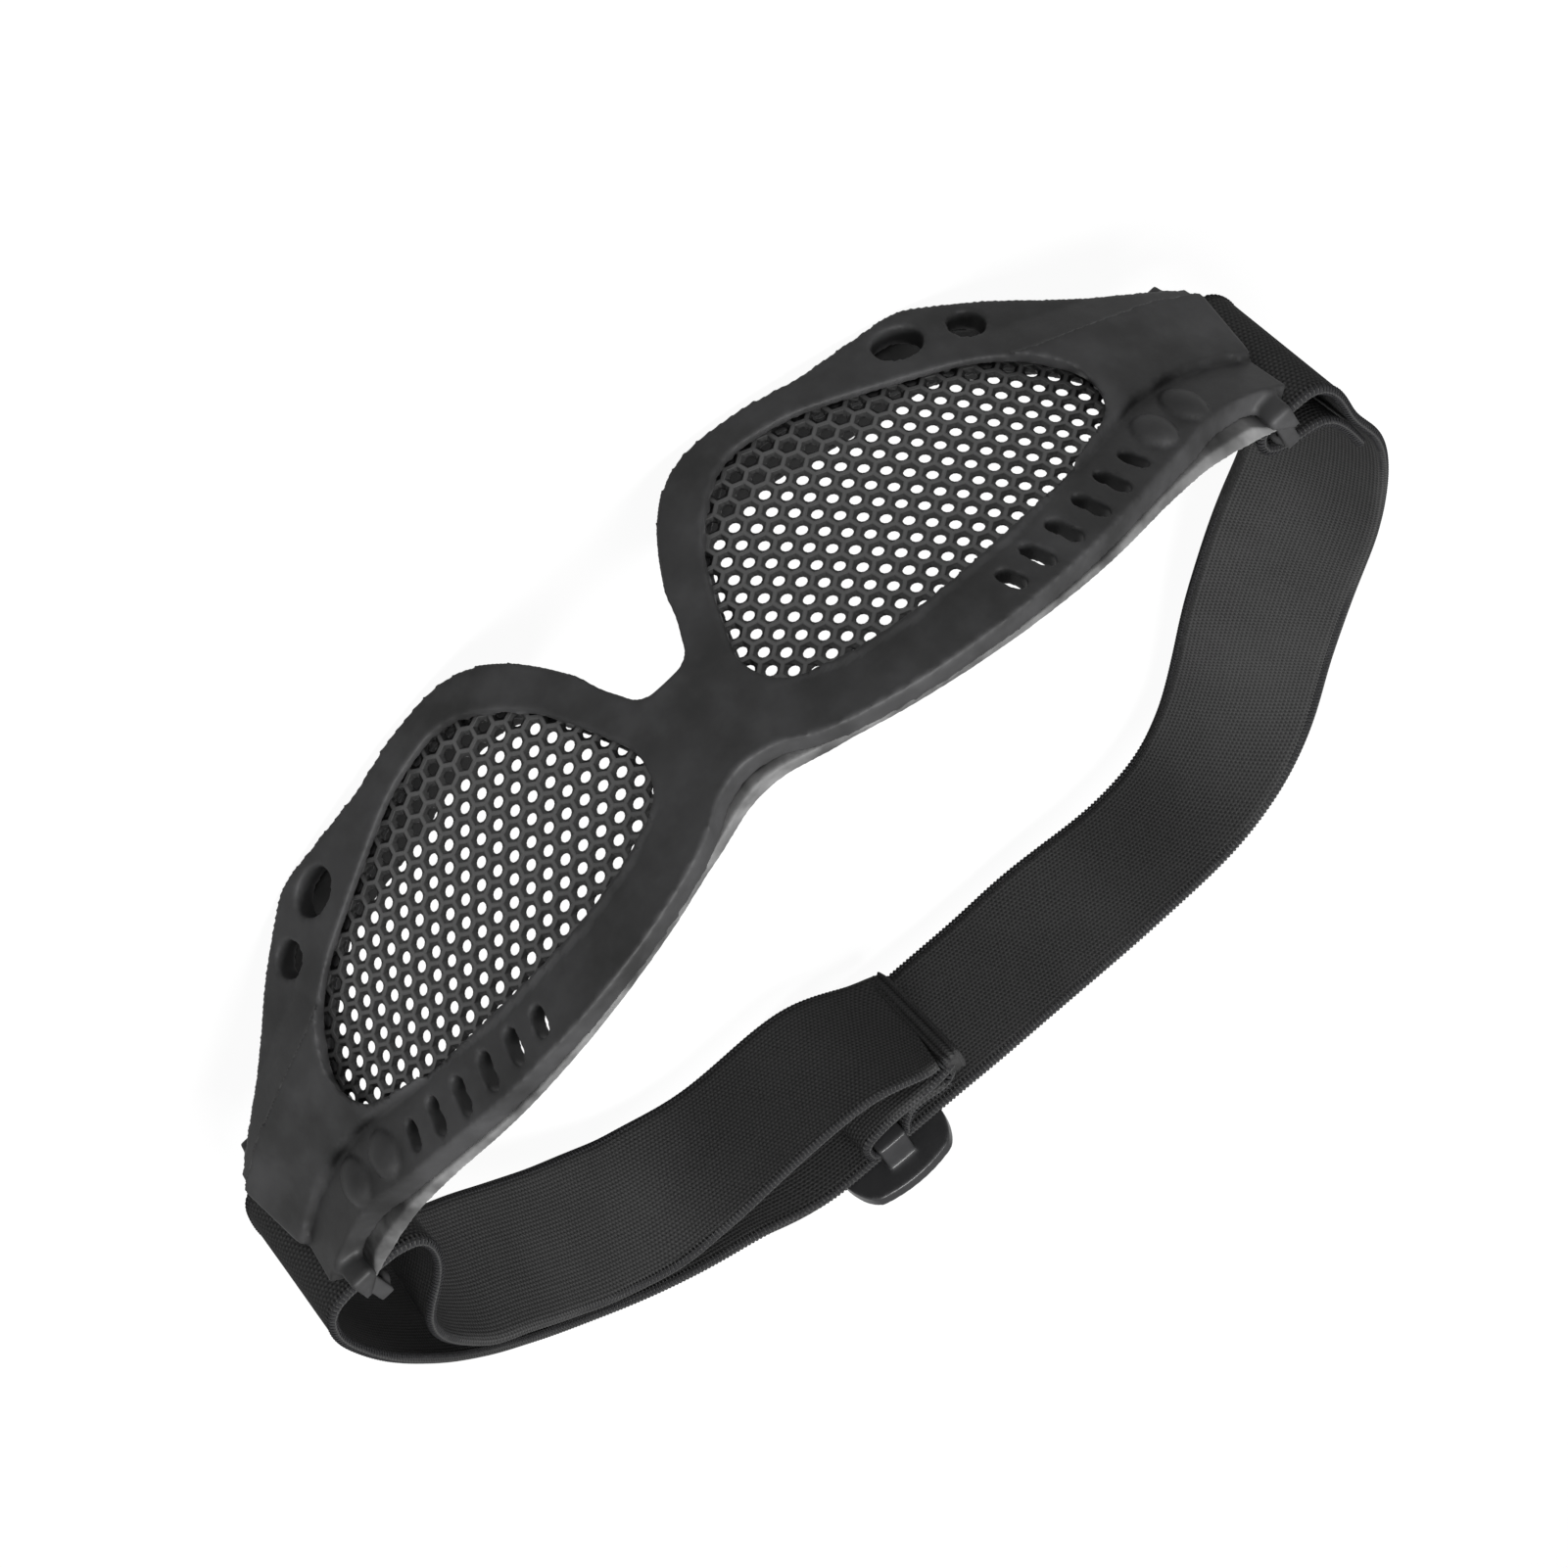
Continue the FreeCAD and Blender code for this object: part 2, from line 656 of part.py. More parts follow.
strap_loop_right = stretch("StrapLoopRight", right_curve, steps=32, end=REAR_FRONT)
strap_rear = stretch("StrapRear", right_curve, steps=18, start=REAR_FRONT, end=GUIDE_START)
strap_guide = stretch("StrapGuide", straight(GUIDE_START, GUIDE_END), steps=2)
strap_outer = stretch("StrapOuter", left_curve, steps=15, start=GUIDE_END, end=OUTER_FRONT)
strap_fold_left = stretch("StrapFoldLeft", left_curve, steps=18, start=OUTER_FRONT, end=CURL_START)
strap_inner = stretch("StrapInner", left_curve, steps=26, start=CURL_START, end=CURL_END)

strap_loop_right.Label = "strap_loop_right"
strap_rear.Label = "strap_rear"
strap_guide.Label = "strap_guide"
strap_outer.Label = "strap_outer_left"
strap_fold_left.Label = "strap_fold_left"
strap_inner.Label = "strap_inner_left"

# Adjuster: the slider on the straight stretch, and the strap's sewn end round its middle bar
slider_angle = math.degrees(math.atan2(guide_dir.y, guide_dir.x))
slider_height = size("strap_mid") - size("rear_drop")


def slider_shape():
    """A rounded ring behind the running strap, and the middle bar in front of it."""
    length = size("slider_length")
    wall = size("slider_wall")
    bar = size("slider_bar")
    rail = size("slider_rail")
    loop_bar = size("loop_bar")
    inside = size("strap_width") + 1.0
    tall = inside + 2 * rail
    ring = Part.makeBox(length, wall, tall, Vector(-length / 2, STRAP_CLEAR, -tall / 2))
    corners = [e for e in ring.Edges if abs(abs(e.tangentAt(0).y) - 1) < 1e-6]
    ring = ring.makeFillet(rail, corners)
    window = Part.makeBox(length - 2 * bar, 3 * wall, inside)
    window.translate(Vector(-length / 2 + bar, 0, -inside / 2))
    ring = ring.cut(window)
    front = -LOOP_BAR_OUT - wall / 2
    reach = STRAP_CLEAR + wall - front
    arms = []
    for low in (-inside / 2 - rail / 2, inside / 2):
        arms.append(Part.makeBox(loop_bar, reach, rail / 2, Vector(-loop_bar / 2, front, low)))
    middle = Part.makeBox(loop_bar, wall, inside, Vector(-loop_bar / 2, front, -inside / 2))
    return ring.fuse(arms + [middle]).removeSplitter()


slider = shape_object("Slider", slider_shape())
slider.Placement = Placement(
    Vector(*SLIDER_AT, slider_height), Rotation(AXIS_UP, slider_angle)
)
slider.Label = "slider"


# The strap's end: round the middle bar and back to the hem, where the panel turns away
half_bar = size("loop_bar") / 2 + STRAP_CLEAR
near = LOOP_BAR_OUT - size("slider_wall") / 2 - STRAP_CLEAR
far = LOOP_BAR_OUT + size("slider_wall") / 2 + STRAP_CLEAR
tail_points = [
    by_slider(HEM_AT, HEM_OUT),
    by_slider(HEM_AT + 3, HEM_OUT),
    by_slider(-half_bar - 1.0, far - 1.2),
    by_slider(-half_bar - 0.05, LOOP_BAR_OUT - 0.5),
    by_slider(-half_bar + 0.35, near + 0.4),
    by_slider(-half_bar + 1.4, near),
    by_slider(half_bar - 1.4, near),
    by_slider(half_bar - 0.35, near + 0.4),
    by_slider(half_bar + 0.05, LOOP_BAR_OUT - 0.5),
    by_slider(half_bar + 0.1, far - 1.1),
    by_slider(half_bar - 0.5, far + 0.1),
    by_slider(half_bar - 2.0, far + 0.8),
    by_slider(HEM_AT + 5, HEM_OUT + LAYER + 0.5),
    by_slider(HEM_AT, HEM_OUT + LAYER),
]
strap_tail = stretch("StrapTail", plan_curve(tail_points), steps=34)
strap_tail.Label = "strap_end_loop"
strap_panel = stretch("StrapPanel", left_curve, steps=13, start=CURL_END, end=PANEL_END)
strap_panel.Label = "strap_panel"
hem_curve = straight(
    by_slider(HEM_AT - HEM_GAP - size("hem_length"), HEM_OUT + LAYER),
    by_slider(HEM_AT - HEM_GAP, HEM_OUT + LAYER),
)
hem = stretch("Hem", hem_curve, 2 * LAYER + size("strap_thick"), 2)
hem.Label = "strap_hem"

doc.recompute()

NODES = [frame, face_seal] + lenses + [
    strap_loop_right, strap_rear, strap_guide, strap_outer, strap_fold_left, strap_inner,
    slider, strap_panel, strap_tail, hem,
]
for thing in doc.Objects:
    if "Invalid" in thing.State or "Error" in thing.State:
        raise RuntimeError(f"{thing.Name} failed: {thing.State}")
for node in NODES:
    if node.Shape.isNull() or not node.Shape.isValid():
        raise RuntimeError(f"{node.Label} has no valid shape")

os.makedirs("parts", exist_ok=True)
for node in NODES:
    node.Shape.exportStep(f"parts/{node.Label}.step")
    box = node.Shape.BoundBox
    print(
        f"{node.Label:18s} solids {len(node.Shape.Solids)} volume {node.Shape.Volume:9.1f} "
        f"x {box.XMin:.1f} {box.XMax:.1f} y {box.YMin:.1f} {box.YMax:.1f} z {box.ZMin:.1f} {box.ZMax:.1f}"
    )
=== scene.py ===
# %% [markdown]
# # Mesh safety goggles
# A rubber front with two perforated steel lenses, a soft seal behind it and an elastic strap
# with a slider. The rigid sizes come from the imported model, so every piece made here is placed
# in its frame, in metres. This cell loads that model and keeps the size of its box.

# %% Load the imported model
import bpy
import bmesh
import math
import numpy as np
from mathutils import Matrix, Vector


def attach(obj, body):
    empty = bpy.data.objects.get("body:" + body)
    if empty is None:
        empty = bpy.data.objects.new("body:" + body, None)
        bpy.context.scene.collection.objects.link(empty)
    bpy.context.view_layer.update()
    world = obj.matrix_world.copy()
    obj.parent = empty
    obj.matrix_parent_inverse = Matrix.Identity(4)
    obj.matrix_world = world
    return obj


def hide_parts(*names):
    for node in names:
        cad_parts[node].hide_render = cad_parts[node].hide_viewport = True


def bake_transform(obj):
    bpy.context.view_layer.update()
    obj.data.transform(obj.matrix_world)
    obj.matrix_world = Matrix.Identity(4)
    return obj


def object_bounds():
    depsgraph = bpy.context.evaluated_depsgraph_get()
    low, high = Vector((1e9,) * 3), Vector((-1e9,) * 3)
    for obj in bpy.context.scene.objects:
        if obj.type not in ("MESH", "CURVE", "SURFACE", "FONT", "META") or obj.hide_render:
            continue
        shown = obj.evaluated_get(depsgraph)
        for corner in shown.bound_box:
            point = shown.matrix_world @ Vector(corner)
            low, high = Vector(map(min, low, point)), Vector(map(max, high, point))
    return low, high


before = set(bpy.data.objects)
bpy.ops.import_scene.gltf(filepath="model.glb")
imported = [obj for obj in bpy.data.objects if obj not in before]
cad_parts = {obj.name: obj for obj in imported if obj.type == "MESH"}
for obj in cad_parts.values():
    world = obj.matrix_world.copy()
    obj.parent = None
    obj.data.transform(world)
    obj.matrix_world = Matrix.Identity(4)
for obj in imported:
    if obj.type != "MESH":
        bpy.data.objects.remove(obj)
CAD_BOX = [list(corner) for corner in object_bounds()]
MM = 0.001
WRAP = 121.0  # radius of the cylinder in which both lenses lie, in millimetres
print("pieces in the model:", len(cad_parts))

# %% [markdown]
# ## Camera
# The photograph was taken from above the front with a long lens, and the picture is turned by
# more than a right angle, so the goggles lie across it. The camera's axes are worked out from
# that elevation and turn, and put straight into its matrix, because a tracking helper would
# level the horizon again.

# %% Camera at the photograph's viewpoint
ELEVATION = math.radians(32.829)
TURN = math.radians(136.803)
TARGET = Vector((-2.22, 0.0, 21.98)) * MM
DISTANCE = 558.11 * MM
SWING = 0.0003
FOCAL_PIXELS = 4634.67
PHOTO_PIXELS = 1601
back = Vector((SWING, -math.cos(ELEVATION), math.sin(ELEVATION))).normalized()
right = Vector((1, 0, 0))
up = back.cross(right)
camera_right = right * math.cos(TURN) + up * math.sin(TURN)
camera_up = up * math.cos(TURN) - right * math.sin(TURN)
camera = bpy.data.objects.new("camera", bpy.data.cameras.new("camera"))
camera.matrix_world = Matrix.Translation(TARGET + back * DISTANCE) @ Matrix(
    (camera_right, camera_up, back)
).transposed().to_4x4()
camera.data.sensor_width = 36.0
camera.data.lens = FOCAL_PIXELS / PHOTO_PIXELS * camera.data.sensor_width
camera.data.clip_start = 0.01
bpy.context.collection.objects.link(camera)
bpy.context.scene.camera = camera
bpy.context.scene.view_settings.view_transform = "Standard"
print("lens", round(camera.data.lens, 1), "mm")

# %% [markdown]
# ## Shader helper
# Materials are sums and products of noise, waves and masks. A small class wraps a socket so
# that these read as plain arithmetic, and one method makes any other node.


# %% Number that can be reckoned with
class Value:
    """A number socket of a material that can be added, multiplied and so on."""

    def __init__(self, tree, socket):
        self.tree = tree
        self.socket = socket

    def math(self, operation, *others):
        return self.tree.node("ShaderNodeMath", [self, *others], operation=operation)

    def __add__(self, other):
        return self.math("ADD", other)

    def __mul__(self, other):
        return self.math("MULTIPLY", other)

    __radd__ = __add__
    __rmul__ = __mul__

    def power(self, other):
        return self.math("POWER", other)

    def clamp(self):
        return self.tree.node("ShaderNodeClamp", [self])

    def between(self, low, high):
        """0 below low, 1 above high, and smooth in between."""
        return self.tree.node(
            "ShaderNodeMapRange", [self, low, high, 0.0, 1.0], interpolation_type="SMOOTHSTEP"
        )


# %% Material helper
class Finish:
    """A material under construction."""

    def __init__(self, name):
        self.material = bpy.data.materials.new(name)
        self.material.use_nodes = True
        self.nodes = self.material.node_tree.nodes
        self.links = self.material.node_tree.links
        self.shader = self.nodes["Principled BSDF"]

    def put(self, socket, value):
        if isinstance(value, Value):
            self.links.new(value.socket, socket)
        elif value is not None:
            socket.default_value = value

    def node(self, kind, inputs=(), output=0, **settings):
        made = self.nodes.new(kind)
        for key, setting in settings.items():
            setattr(made, key, setting)
        named = inputs.items() if isinstance(inputs, dict) else enumerate(inputs)
        for key, value in named:
            self.put(made.inputs[key], value)
        return Value(self, made.outputs[output])

    def noise(self, where, scale, detail=3.0, rough=0.55):
        inputs = {"Vector": where, "Scale": scale, "Detail": detail, "Roughness": rough}
        return self.node("ShaderNodeTexNoise", inputs)

    def mix(self, factor, first, second):
        inputs = {0: factor, 6: (*first, 1.0), 7: (*second, 1.0)}
        return self.node("ShaderNodeMix", inputs, output=2, data_type="RGBA")

    def bump(self, height, distance, strength=1.0, below=None):
        inputs = {"Height": height, "Distance": distance, "Strength": strength, "Normal": below}
        return self.node("ShaderNodeBump", inputs)

    def finish(self, color, roughness, normal=None, **plain):
        self.put(self.shader.inputs["Base Color"], color)
        self.put(self.shader.inputs["Roughness"], roughness)
        self.put(self.shader.inputs["Normal"], normal)
        for key, value in plain.items():
            self.shader.inputs[key.replace("_", " ")].default_value = value
        return self.material

    def place(self):
        return self.node("ShaderNodeTexCoord", output="Object")

    def split(self, vector):
        """The three numbers of a vector."""
        outputs = self.node("ShaderNodeSeparateXYZ", [vector]).socket.node.outputs
        return [Value(self, output) for output in outputs]


print("shader helper ready")

# %% [markdown]
# ## Rubber
# Moulded rubber is a dark grey that is never quite even: the skin has soft clouds where it
# flowed, a fine grain from the mould, and a dull sheen. Two noises at different scales give
# the clouds and the grain, and the clouds also move the roughness a little. The seal is paler
# than the front. Lower down, behind the lenses, its pale clouds fade to the dark tone as painted
# shade.


# %% Rubber for the front and the seal
def rubber(name, dark, light, roughness, shaded_below=None):
    """Clouded rubber. Given two heights, its pale clouds fade out between them and only the dark
    tone is left below, as painted shade.
    """
    skin = Finish(name)
    where = skin.place()
    clouds = skin.noise(where, 55.0, 4.0)
    grain = skin.noise(where, 2600.0, 2.0)
    blotch = skin.noise(where, 190.0, 3.0).between(0.35, 0.75)
    clouds_and_shade = clouds.between(0.34, 0.66) * 0.6 + blotch * 0.4
    # painted shade: the pale clouds fade out below the given heights
    if shaded_below:
        clouds_and_shade = clouds_and_shade * skin.split(where)[2].between(*shaded_below)
    rough = clouds * 0.16 + grain * 0.10 + (roughness - 0.13)
    normal = skin.bump(grain * 0.4 + blotch * 0.6, 0.00004, 0.6)
    return skin.finish(
        skin.mix(clouds_and_shade, dark, light), rough, normal, IOR=1.5, Specular_IOR_Level=0.2
    )


FRONT_RUBBER = rubber("front_rubber", (0.0165, 0.0165, 0.0165), (0.045, 0.045, 0.0462), 0.56)
# the seal's pale clouds fade out lower down, behind the lenses, as painted shade
SEAL_RUBBER = rubber(
    "seal_rubber", (0.0084, 0.0084, 0.0084), (0.204, 0.204, 0.204), 0.66, shaded_below=(-0.009, 0.003)
)
print("made", FRONT_RUBBER.name, "and", SEAL_RUBBER.name)

# %% [markdown]
# ## Coated steel
# The lenses are thin steel sheet with a satin black coat. The sheet carries a number that is 1
# on a web and 0 in a well, and the finish mixes two tones by it: the webs get a painted
# highlight and the wells painted shade. Fine noise keeps the coat from looking flat.

# %% Coated steel for the lenses
coat = Finish("coated_steel")
coat_noise = coat.noise(coat.place(), 900.0, 2.0)
# 1 on a web and 0 in a well: the paler webs are a painted highlight, the darker wells painted
#                             shade
worn = coat.node("ShaderNodeAttribute", output="Fac", attribute_name="worn")
web_light_well_shade = (worn.power(1.5) * (coat_noise * 0.5 + 0.7)).clamp()
STEEL = coat.finish(
    coat.mix(web_light_well_shade, (0.008, 0.008, 0.008), (0.075, 0.075, 0.075)),
    coat_noise * 0.14 + 0.36,
    coat.bump(coat_noise, 0.00003, 0.4),
    IOR=1.5,
    Specular_IOR_Level=0.45,
)
print("made", STEEL.name)

# %% [markdown]
# ## Webbing
# The strap is woven elastic: fine ribs run along it, crossed by the weft, so that close up it
# is a grid of tiny knuckles. The pattern has to follow the strap round its bends, so it reads
# the strap's own map, in which one unit is one millimetre along and across the strap.


# %% Webbing
RIB_PITCH = 0.62
WEFT_PITCH = 0.66
WEBBING_TONE = 0.033


def woven(name):
    cloth = Finish(name)
    along, across, _ = cloth.split(cloth.node("ShaderNodeUVMap", uv_map="strap_mm"))
    rib = (across * (2 * math.pi / RIB_PITCH)).math("SINE") * 0.5 + 0.5
    # every second rib has its knuckles half a pitch further on
    shift = (across * (math.pi / RIB_PITCH)).math("SINE").math("SIGN") * (math.pi / 2)
    weft = (along * (2 * math.pi / WEFT_PITCH) + shift).math("SINE") * 0.5 + 0.5
    knit = rib * 0.42 + weft * 0.58
    fuzz = cloth.noise(cloth.place(), 1500.0, 3.0)
    patches = cloth.noise(cloth.place(), 60.0, 3.0)
    shade = (knit * 0.6 + fuzz * 0.25 + patches * 0.3).between(0.15, 0.95)
    color = cloth.mix(shade, (WEBBING_TONE * 0.42,) * 3, (WEBBING_TONE * 1.45,) * 3)
    normal = cloth.bump(knit + fuzz * 0.35, 0.00013, 0.6)
    return cloth.finish(color, fuzz * 0.1 + 0.82, normal, Specular_IOR_Level=0.12, IOR=1.35)


WEBBING = woven("webbing")
print("made", WEBBING.name)

# %% [markdown]
# ## Slider plastic
# The slider is moulded in a harder black plastic with a slight shine on its rounded rims.

# %% Slider plastic
shell = Finish("slider_plastic")
shell_noise = shell.noise(shell.place(), 240.0, 3.0)
PLASTIC = shell.finish(
    shell.mix(shell_noise, (0.015, 0.015, 0.016), (0.030, 0.030, 0.031)),
    shell_noise * 0.16 + 0.34,
    shell.bump(shell.noise(shell.place(), 2200.0, 2.0), 0.00002, 0.5),
    IOR=1.5,
    Specular_IOR_Level=0.4,
)
print("made", PLASTIC.name)

# %% [markdown]
# ## Moulded edges
# Rubber and plastic parts leave the mould with every edge rounded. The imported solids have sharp
# edges, so each piece is a copy of its solid, remeshed in small voxels and smoothed, which
# rounds all its edges alike. The wide faces are then drawn back onto the wrap's cylinders.


# %% Helper that softens a solid
FINE = 1.0
SNAP, HOLD = 0.16, 0.08  # a point this near to a cylinder is drawn to it, and this near lands


def voxels(piece, size, passes):
    """The piece's mesh, remeshed in voxels of this size and smoothed."""
    remesh = piece.modifiers.new("remesh", "REMESH")
    remesh.mode = "VOXEL"
    remesh.voxel_size = size * MM
    smooth = piece.modifiers.new("smooth", "SMOOTH")
    smooth.factor = 0.5
    smooth.iterations = passes
    graph = bpy.context.evaluated_depsgraph_get()
    made = bpy.data.meshes.new_from_object(piece.evaluated_get(graph))
    piece.modifiers.clear()
    return made


def drawn_to(points, radii):
    """Draws the points that lie near one of the wrap's cylinders onto it."""
    reach = np.hypot(points[:, 0], points[:, 1] - WRAP)
    for radius in radii:
        off = radius - reach
        pull = np.clip((SNAP - np.abs(off)) / HOLD, 0, 1)
        factor = 1 + off * pull / reach
        points[:, 0] *= factor
        points[:, 1] = WRAP + (points[:, 1] - WRAP) * factor
    return points


def softened(node, name, material, voxel, passes, shape, radii=()):
    """A rounded copy of a solid, given its last shape by a function of its points."""
    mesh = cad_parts[node].data.copy()
    merged = bmesh.new()
    merged.from_mesh(mesh)
    bmesh.ops.remove_doubles(merged, verts=merged.verts, dist=1e-6)
    merged.to_mesh(mesh)
    merged.free()
    piece = bpy.data.objects.new(name, mesh)
    bpy.context.collection.objects.link(piece)
    piece.data = voxels(piece, voxel * FINE, passes)
    piece.data.name = name
    points = np.empty(len(piece.data.vertices) * 3)
    piece.data.vertices.foreach_get("co", points)
    points = shape(drawn_to(points.reshape(-1, 3) / MM, radii)) * MM
    piece.data.vertices.foreach_set("co", points.ravel())
    piece.data.shade_smooth()
    piece.data.materials.clear()
    piece.data.materials.append(material)
    print(name, "faces", len(piece.data.polygons))
    return piece


def smoothstep(low, high, value):
    part = np.clip((value - low) / (high - low), 0, 1)
    return part * part * (3 - 2 * part)


# %% [markdown]
# ## Rubber front
# The front is one moulding with its vents, bumps and cheek holes. On the real one the wide
# temple wedges tilt to the light above a ridge, and two domes stand on each. The solid has the
# wedges as flat steps, so the relief is added here, by moving points to or from the wrap's
# axis. Runs are measured along the wrap from the middle, and heights above the nose arch.

# %% Shape of the front's face
FACE = 123.0  # radius of the front's face
BACK = 119.4  # radius of its back
STRAP_LEVEL = -1.2
POST_RUN = 81.84
LUG = 11.9  # half the height at which a post's lugs begin
RIDGE = [(8, 8), (10, 11.8), (17.9, 15.5), (28, 16.7), (45, 14.3), (58, 9.6), (64, 6.9),
         (71.4, 3.6), (80, 1.5), (88.6, 1.0), (98, 2.9)]
FOOT = [(58, -13.5), (66, -10.4), (75, -10), (88, -10.4), (98, -9.2)]
DOMES = [(70.5, 9.5, 4.4, 6.3), (77.3, 7, 4.6, 6.5)]  # run, height, width, height of each


def wedge_shift(run, z):
    """How far the face stands out: a lip over the lenses, and a tilt on the temple wedge."""
    ridge = np.interp(run, *np.array(RIDGE).T)
    foot = np.interp(run, *np.array(FOOT).T)
    temple = smoothstep(55, 70, run)
    lip = smoothstep(9, 14, run)
    above = np.clip((z - ridge) / (5 + 3 * temple), 0, 1)
    under = np.clip((ridge - z) / (ridge - foot), 0, 1)
    below = np.clip((foot - z) / 6, 0, 1)
    return np.where(
        z > ridge,
        -(1 - above) * (0.4 * lip + 0.7 * temple),
        np.where(z > foot, (1.9 * under - 0.9) * temple, (1 - below) * temple),
    )


def small_lugs(x, z, reach):
    """Makes the lugs at both ends of the strap posts shorter and slimmer."""
    tall = np.abs(z - STRAP_LEVEL)
    shorter = STRAP_LEVEL + np.sign(z - STRAP_LEVEL) * (LUG + (tall - LUG) * 0.55)
    z = np.where((reach < 119) & (tall > LUG), shorter, z)
    slim = smoothstep(11.0, 12.5, np.abs(z - STRAP_LEVEL)) * (reach < 118.9)
    return x - (x - np.sign(x) * POST_RUN) * 0.38 * slim, z


def face_relief(points):
    x, y, z = points.T
    reach = np.hypot(x, y - WRAP)
    run = np.abs(WRAP * np.arctan2(x, WRAP - y))
    shift = wedge_shift(run, z)
    lift = reach + shift * np.clip((reach - BACK) / (FACE - BACK), 0, 1)
    x, z = small_lugs(x, z, reach)
    for at, height, wide, tall in DOMES:
        far = ((run - at) / (wide / 2 + 0.5)) ** 2 + ((z - height) / (tall / 2 + 0.5)) ** 2
        dome = FACE + shift + 1.5 * np.clip(1 - far, 0, 1) ** 0.6
        lift = np.where((far < 1.15) & (reach > 122.2), dome, lift)
    return np.stack([x * lift / reach, WRAP + (y - WRAP) * lift / reach, z], axis=1)


# %% Rubber front
front = softened(
    "frame", "front_moulding", FRONT_RUBBER, 0.43, 4, face_relief, (FACE, 124.0, BACK, 123.7)
)
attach(front, "goggles")
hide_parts("frame")

# %% [markdown]
# ## Face seal
# The seal is a softer skirt behind the front. It is shallow over the brow and deep under the
# eyes, where it reaches the cheeks, and its ends run out along the temples.


# %% Shape of the face seal
def skirt(points):
    x, y, z = points.T
    reach = np.hypot(x, y - WRAP)
    angle = np.arctan2(x, WRAP - y)
    run = np.abs(WRAP * angle)
    brow = smoothstep(-6, 4, z)
    shallow = np.interp(run, (0, 15, 30, 60, 80, 95), (0.72, 0.55, 0.42, 0.28, 0.30, 0.42))
    depth = (BACK - reach) * (brow * shallow + (1 - brow) * 1.45)
    reach = np.where(reach < BACK, BACK - depth, reach)
    angle += np.sign(angle) * 5.5 / WRAP * smoothstep(run.max() - 14, run.max(), run)
    return np.stack([reach * np.sin(angle), WRAP - reach * np.cos(angle), z], axis=1)


# %% Face seal
seal = softened("face_seal", "seal_skirt", SEAL_RUBBER, 0.32, 6, skirt)
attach(seal, "goggles")
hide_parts("face_seal")

# %% [markdown]
# ## Slider
# The buckle is a moulded frame with a middle bar. Its two end bars are bowed outwards and are
# wider towards the opening, so its points are moved up or down by how far along it they lie.

# %% Slider
GUIDE_WAY = np.array([57.0, -6.0]) / math.hypot(57.0, 6.0)  # along the strap, in plan
SLIDER_AT = np.array([-15.0, 130.8]) + GUIDE_WAY * 38.2
SLIDER_LEVEL = -11.2
HALF_LONG, HALF_TALL = 9.25, 15.45


def bowed(points):
    along = (points[:, :2] - SLIDER_AT) @ GUIDE_WAY
    tall = points[:, 2] - SLIDER_LEVEL
    arc = 1 - np.clip(along / HALF_LONG, -1, 1) ** 2
    wider = np.interp(np.abs(tall), (0, 11.9, HALF_TALL), (0, 9.6, HALF_TALL))
    outer = smoothstep(12.0, 15.4, np.abs(tall))
    points[:, 2] = np.sign(tall) * (wider + 1.9 * arc * outer) + SLIDER_LEVEL
    return points


slider = softened("slider", "slider_buckle", PLASTIC, 0.16, 9, bowed)
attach(slider, "adjuster")
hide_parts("slider")

# %% [markdown]
# ## Geometry node helper
# The punched sheets, the straps and the stitches each repeat one thing, or carry it along a
# path, so they are Geometry Nodes trees. This helper makes a node, fills its inputs and hands
# back its output, as the shader helper does.


# %% Geometry node helper
class Tree:
    """A geometry tree with named inputs, run once and turned into a plain mesh."""

    def __init__(self, name, **inputs):
        self.group = bpy.data.node_groups.new(name, "GeometryNodeTree")
        self.names = {}
        add = self.group.interface.new_socket
        add("Geometry", in_out="INPUT", socket_type="NodeSocketGeometry")
        for key, (kind, value) in inputs.items():
            self.names[add(key, in_out="INPUT", socket_type=kind).identifier] = value
        add("Geometry", in_out="OUTPUT", socket_type="NodeSocketGeometry")
        self.entry = self.group.nodes.new("NodeGroupInput")
        self.exit = self.group.nodes.new("NodeGroupOutput")

    def input(self, key="Geometry"):
        return self.entry.outputs[key]

    def node(self, kind, inputs=(), output=0, **settings):
        made = self.group.nodes.new(kind)
        for key, setting in settings.items():
            setattr(made, key, setting)
        named = inputs.items() if isinstance(inputs, dict) else enumerate(inputs)
        for key, value in named:
            if isinstance(value, bpy.types.NodeSocket):
                self.group.links.new(value, made.inputs[key])
            elif value is not None:
                made.inputs[key].default_value = value
        return made.outputs[output] if output is not None else made

    def math(self, operation, *values):
        return self.node("ShaderNodeMath", values, operation=operation)

    def run(self, piece, result, material):
        """Ends the tree, runs it on a piece, and leaves the result as the piece's own mesh."""
        real = self.node("GeometryNodeRealizeInstances", [result])
        coated = self.node("GeometryNodeSetMaterial", {"Geometry": real, "Material": material})
        self.group.links.new(coated, self.exit.inputs[0])
        modifier = piece.modifiers.new(self.group.name, "NODES")
        modifier.node_group = self.group
        for identifier, value in self.names.items():
            modifier[identifier] = value
        graph = bpy.context.evaluated_depsgraph_get()
        made = bpy.data.meshes.new_from_object(piece.evaluated_get(graph))
        name = piece.name
        bpy.data.objects.remove(piece)
        shown = bpy.data.objects.new(name, made)
        bpy.context.collection.objects.link(shown)
        print(name, "faces", len(made.polygons))
        return shown


def loose(name, vertices, faces):
    mesh = bpy.data.meshes.new(name)
    mesh.from_pydata(vertices, [], faces)
    piece = bpy.data.objects.new(name, mesh)
    bpy.context.collection.objects.link(piece)
    return piece


print("geometry helper ready")

# %% [markdown]
# ## Perforated lenses
# Each lens is steel sheet punched with a honeycomb of round holes. Seen close, every hole sits
# in a six-sided dimple, and the webs between the dimples catch the light. One cell of the
# honeycomb is made with its dimple, its round hole and its back. A tree then sets the
# cells on a lattice, keeps what lies inside the sheet, and bends them round the wrap.

# %% One cell of the honeycomb
PITCH = 3.0
SHEET = 0.6
DIMPLE = 2.34  # across the flats
HOLE = 0.83  # radius
CORNERS = 12


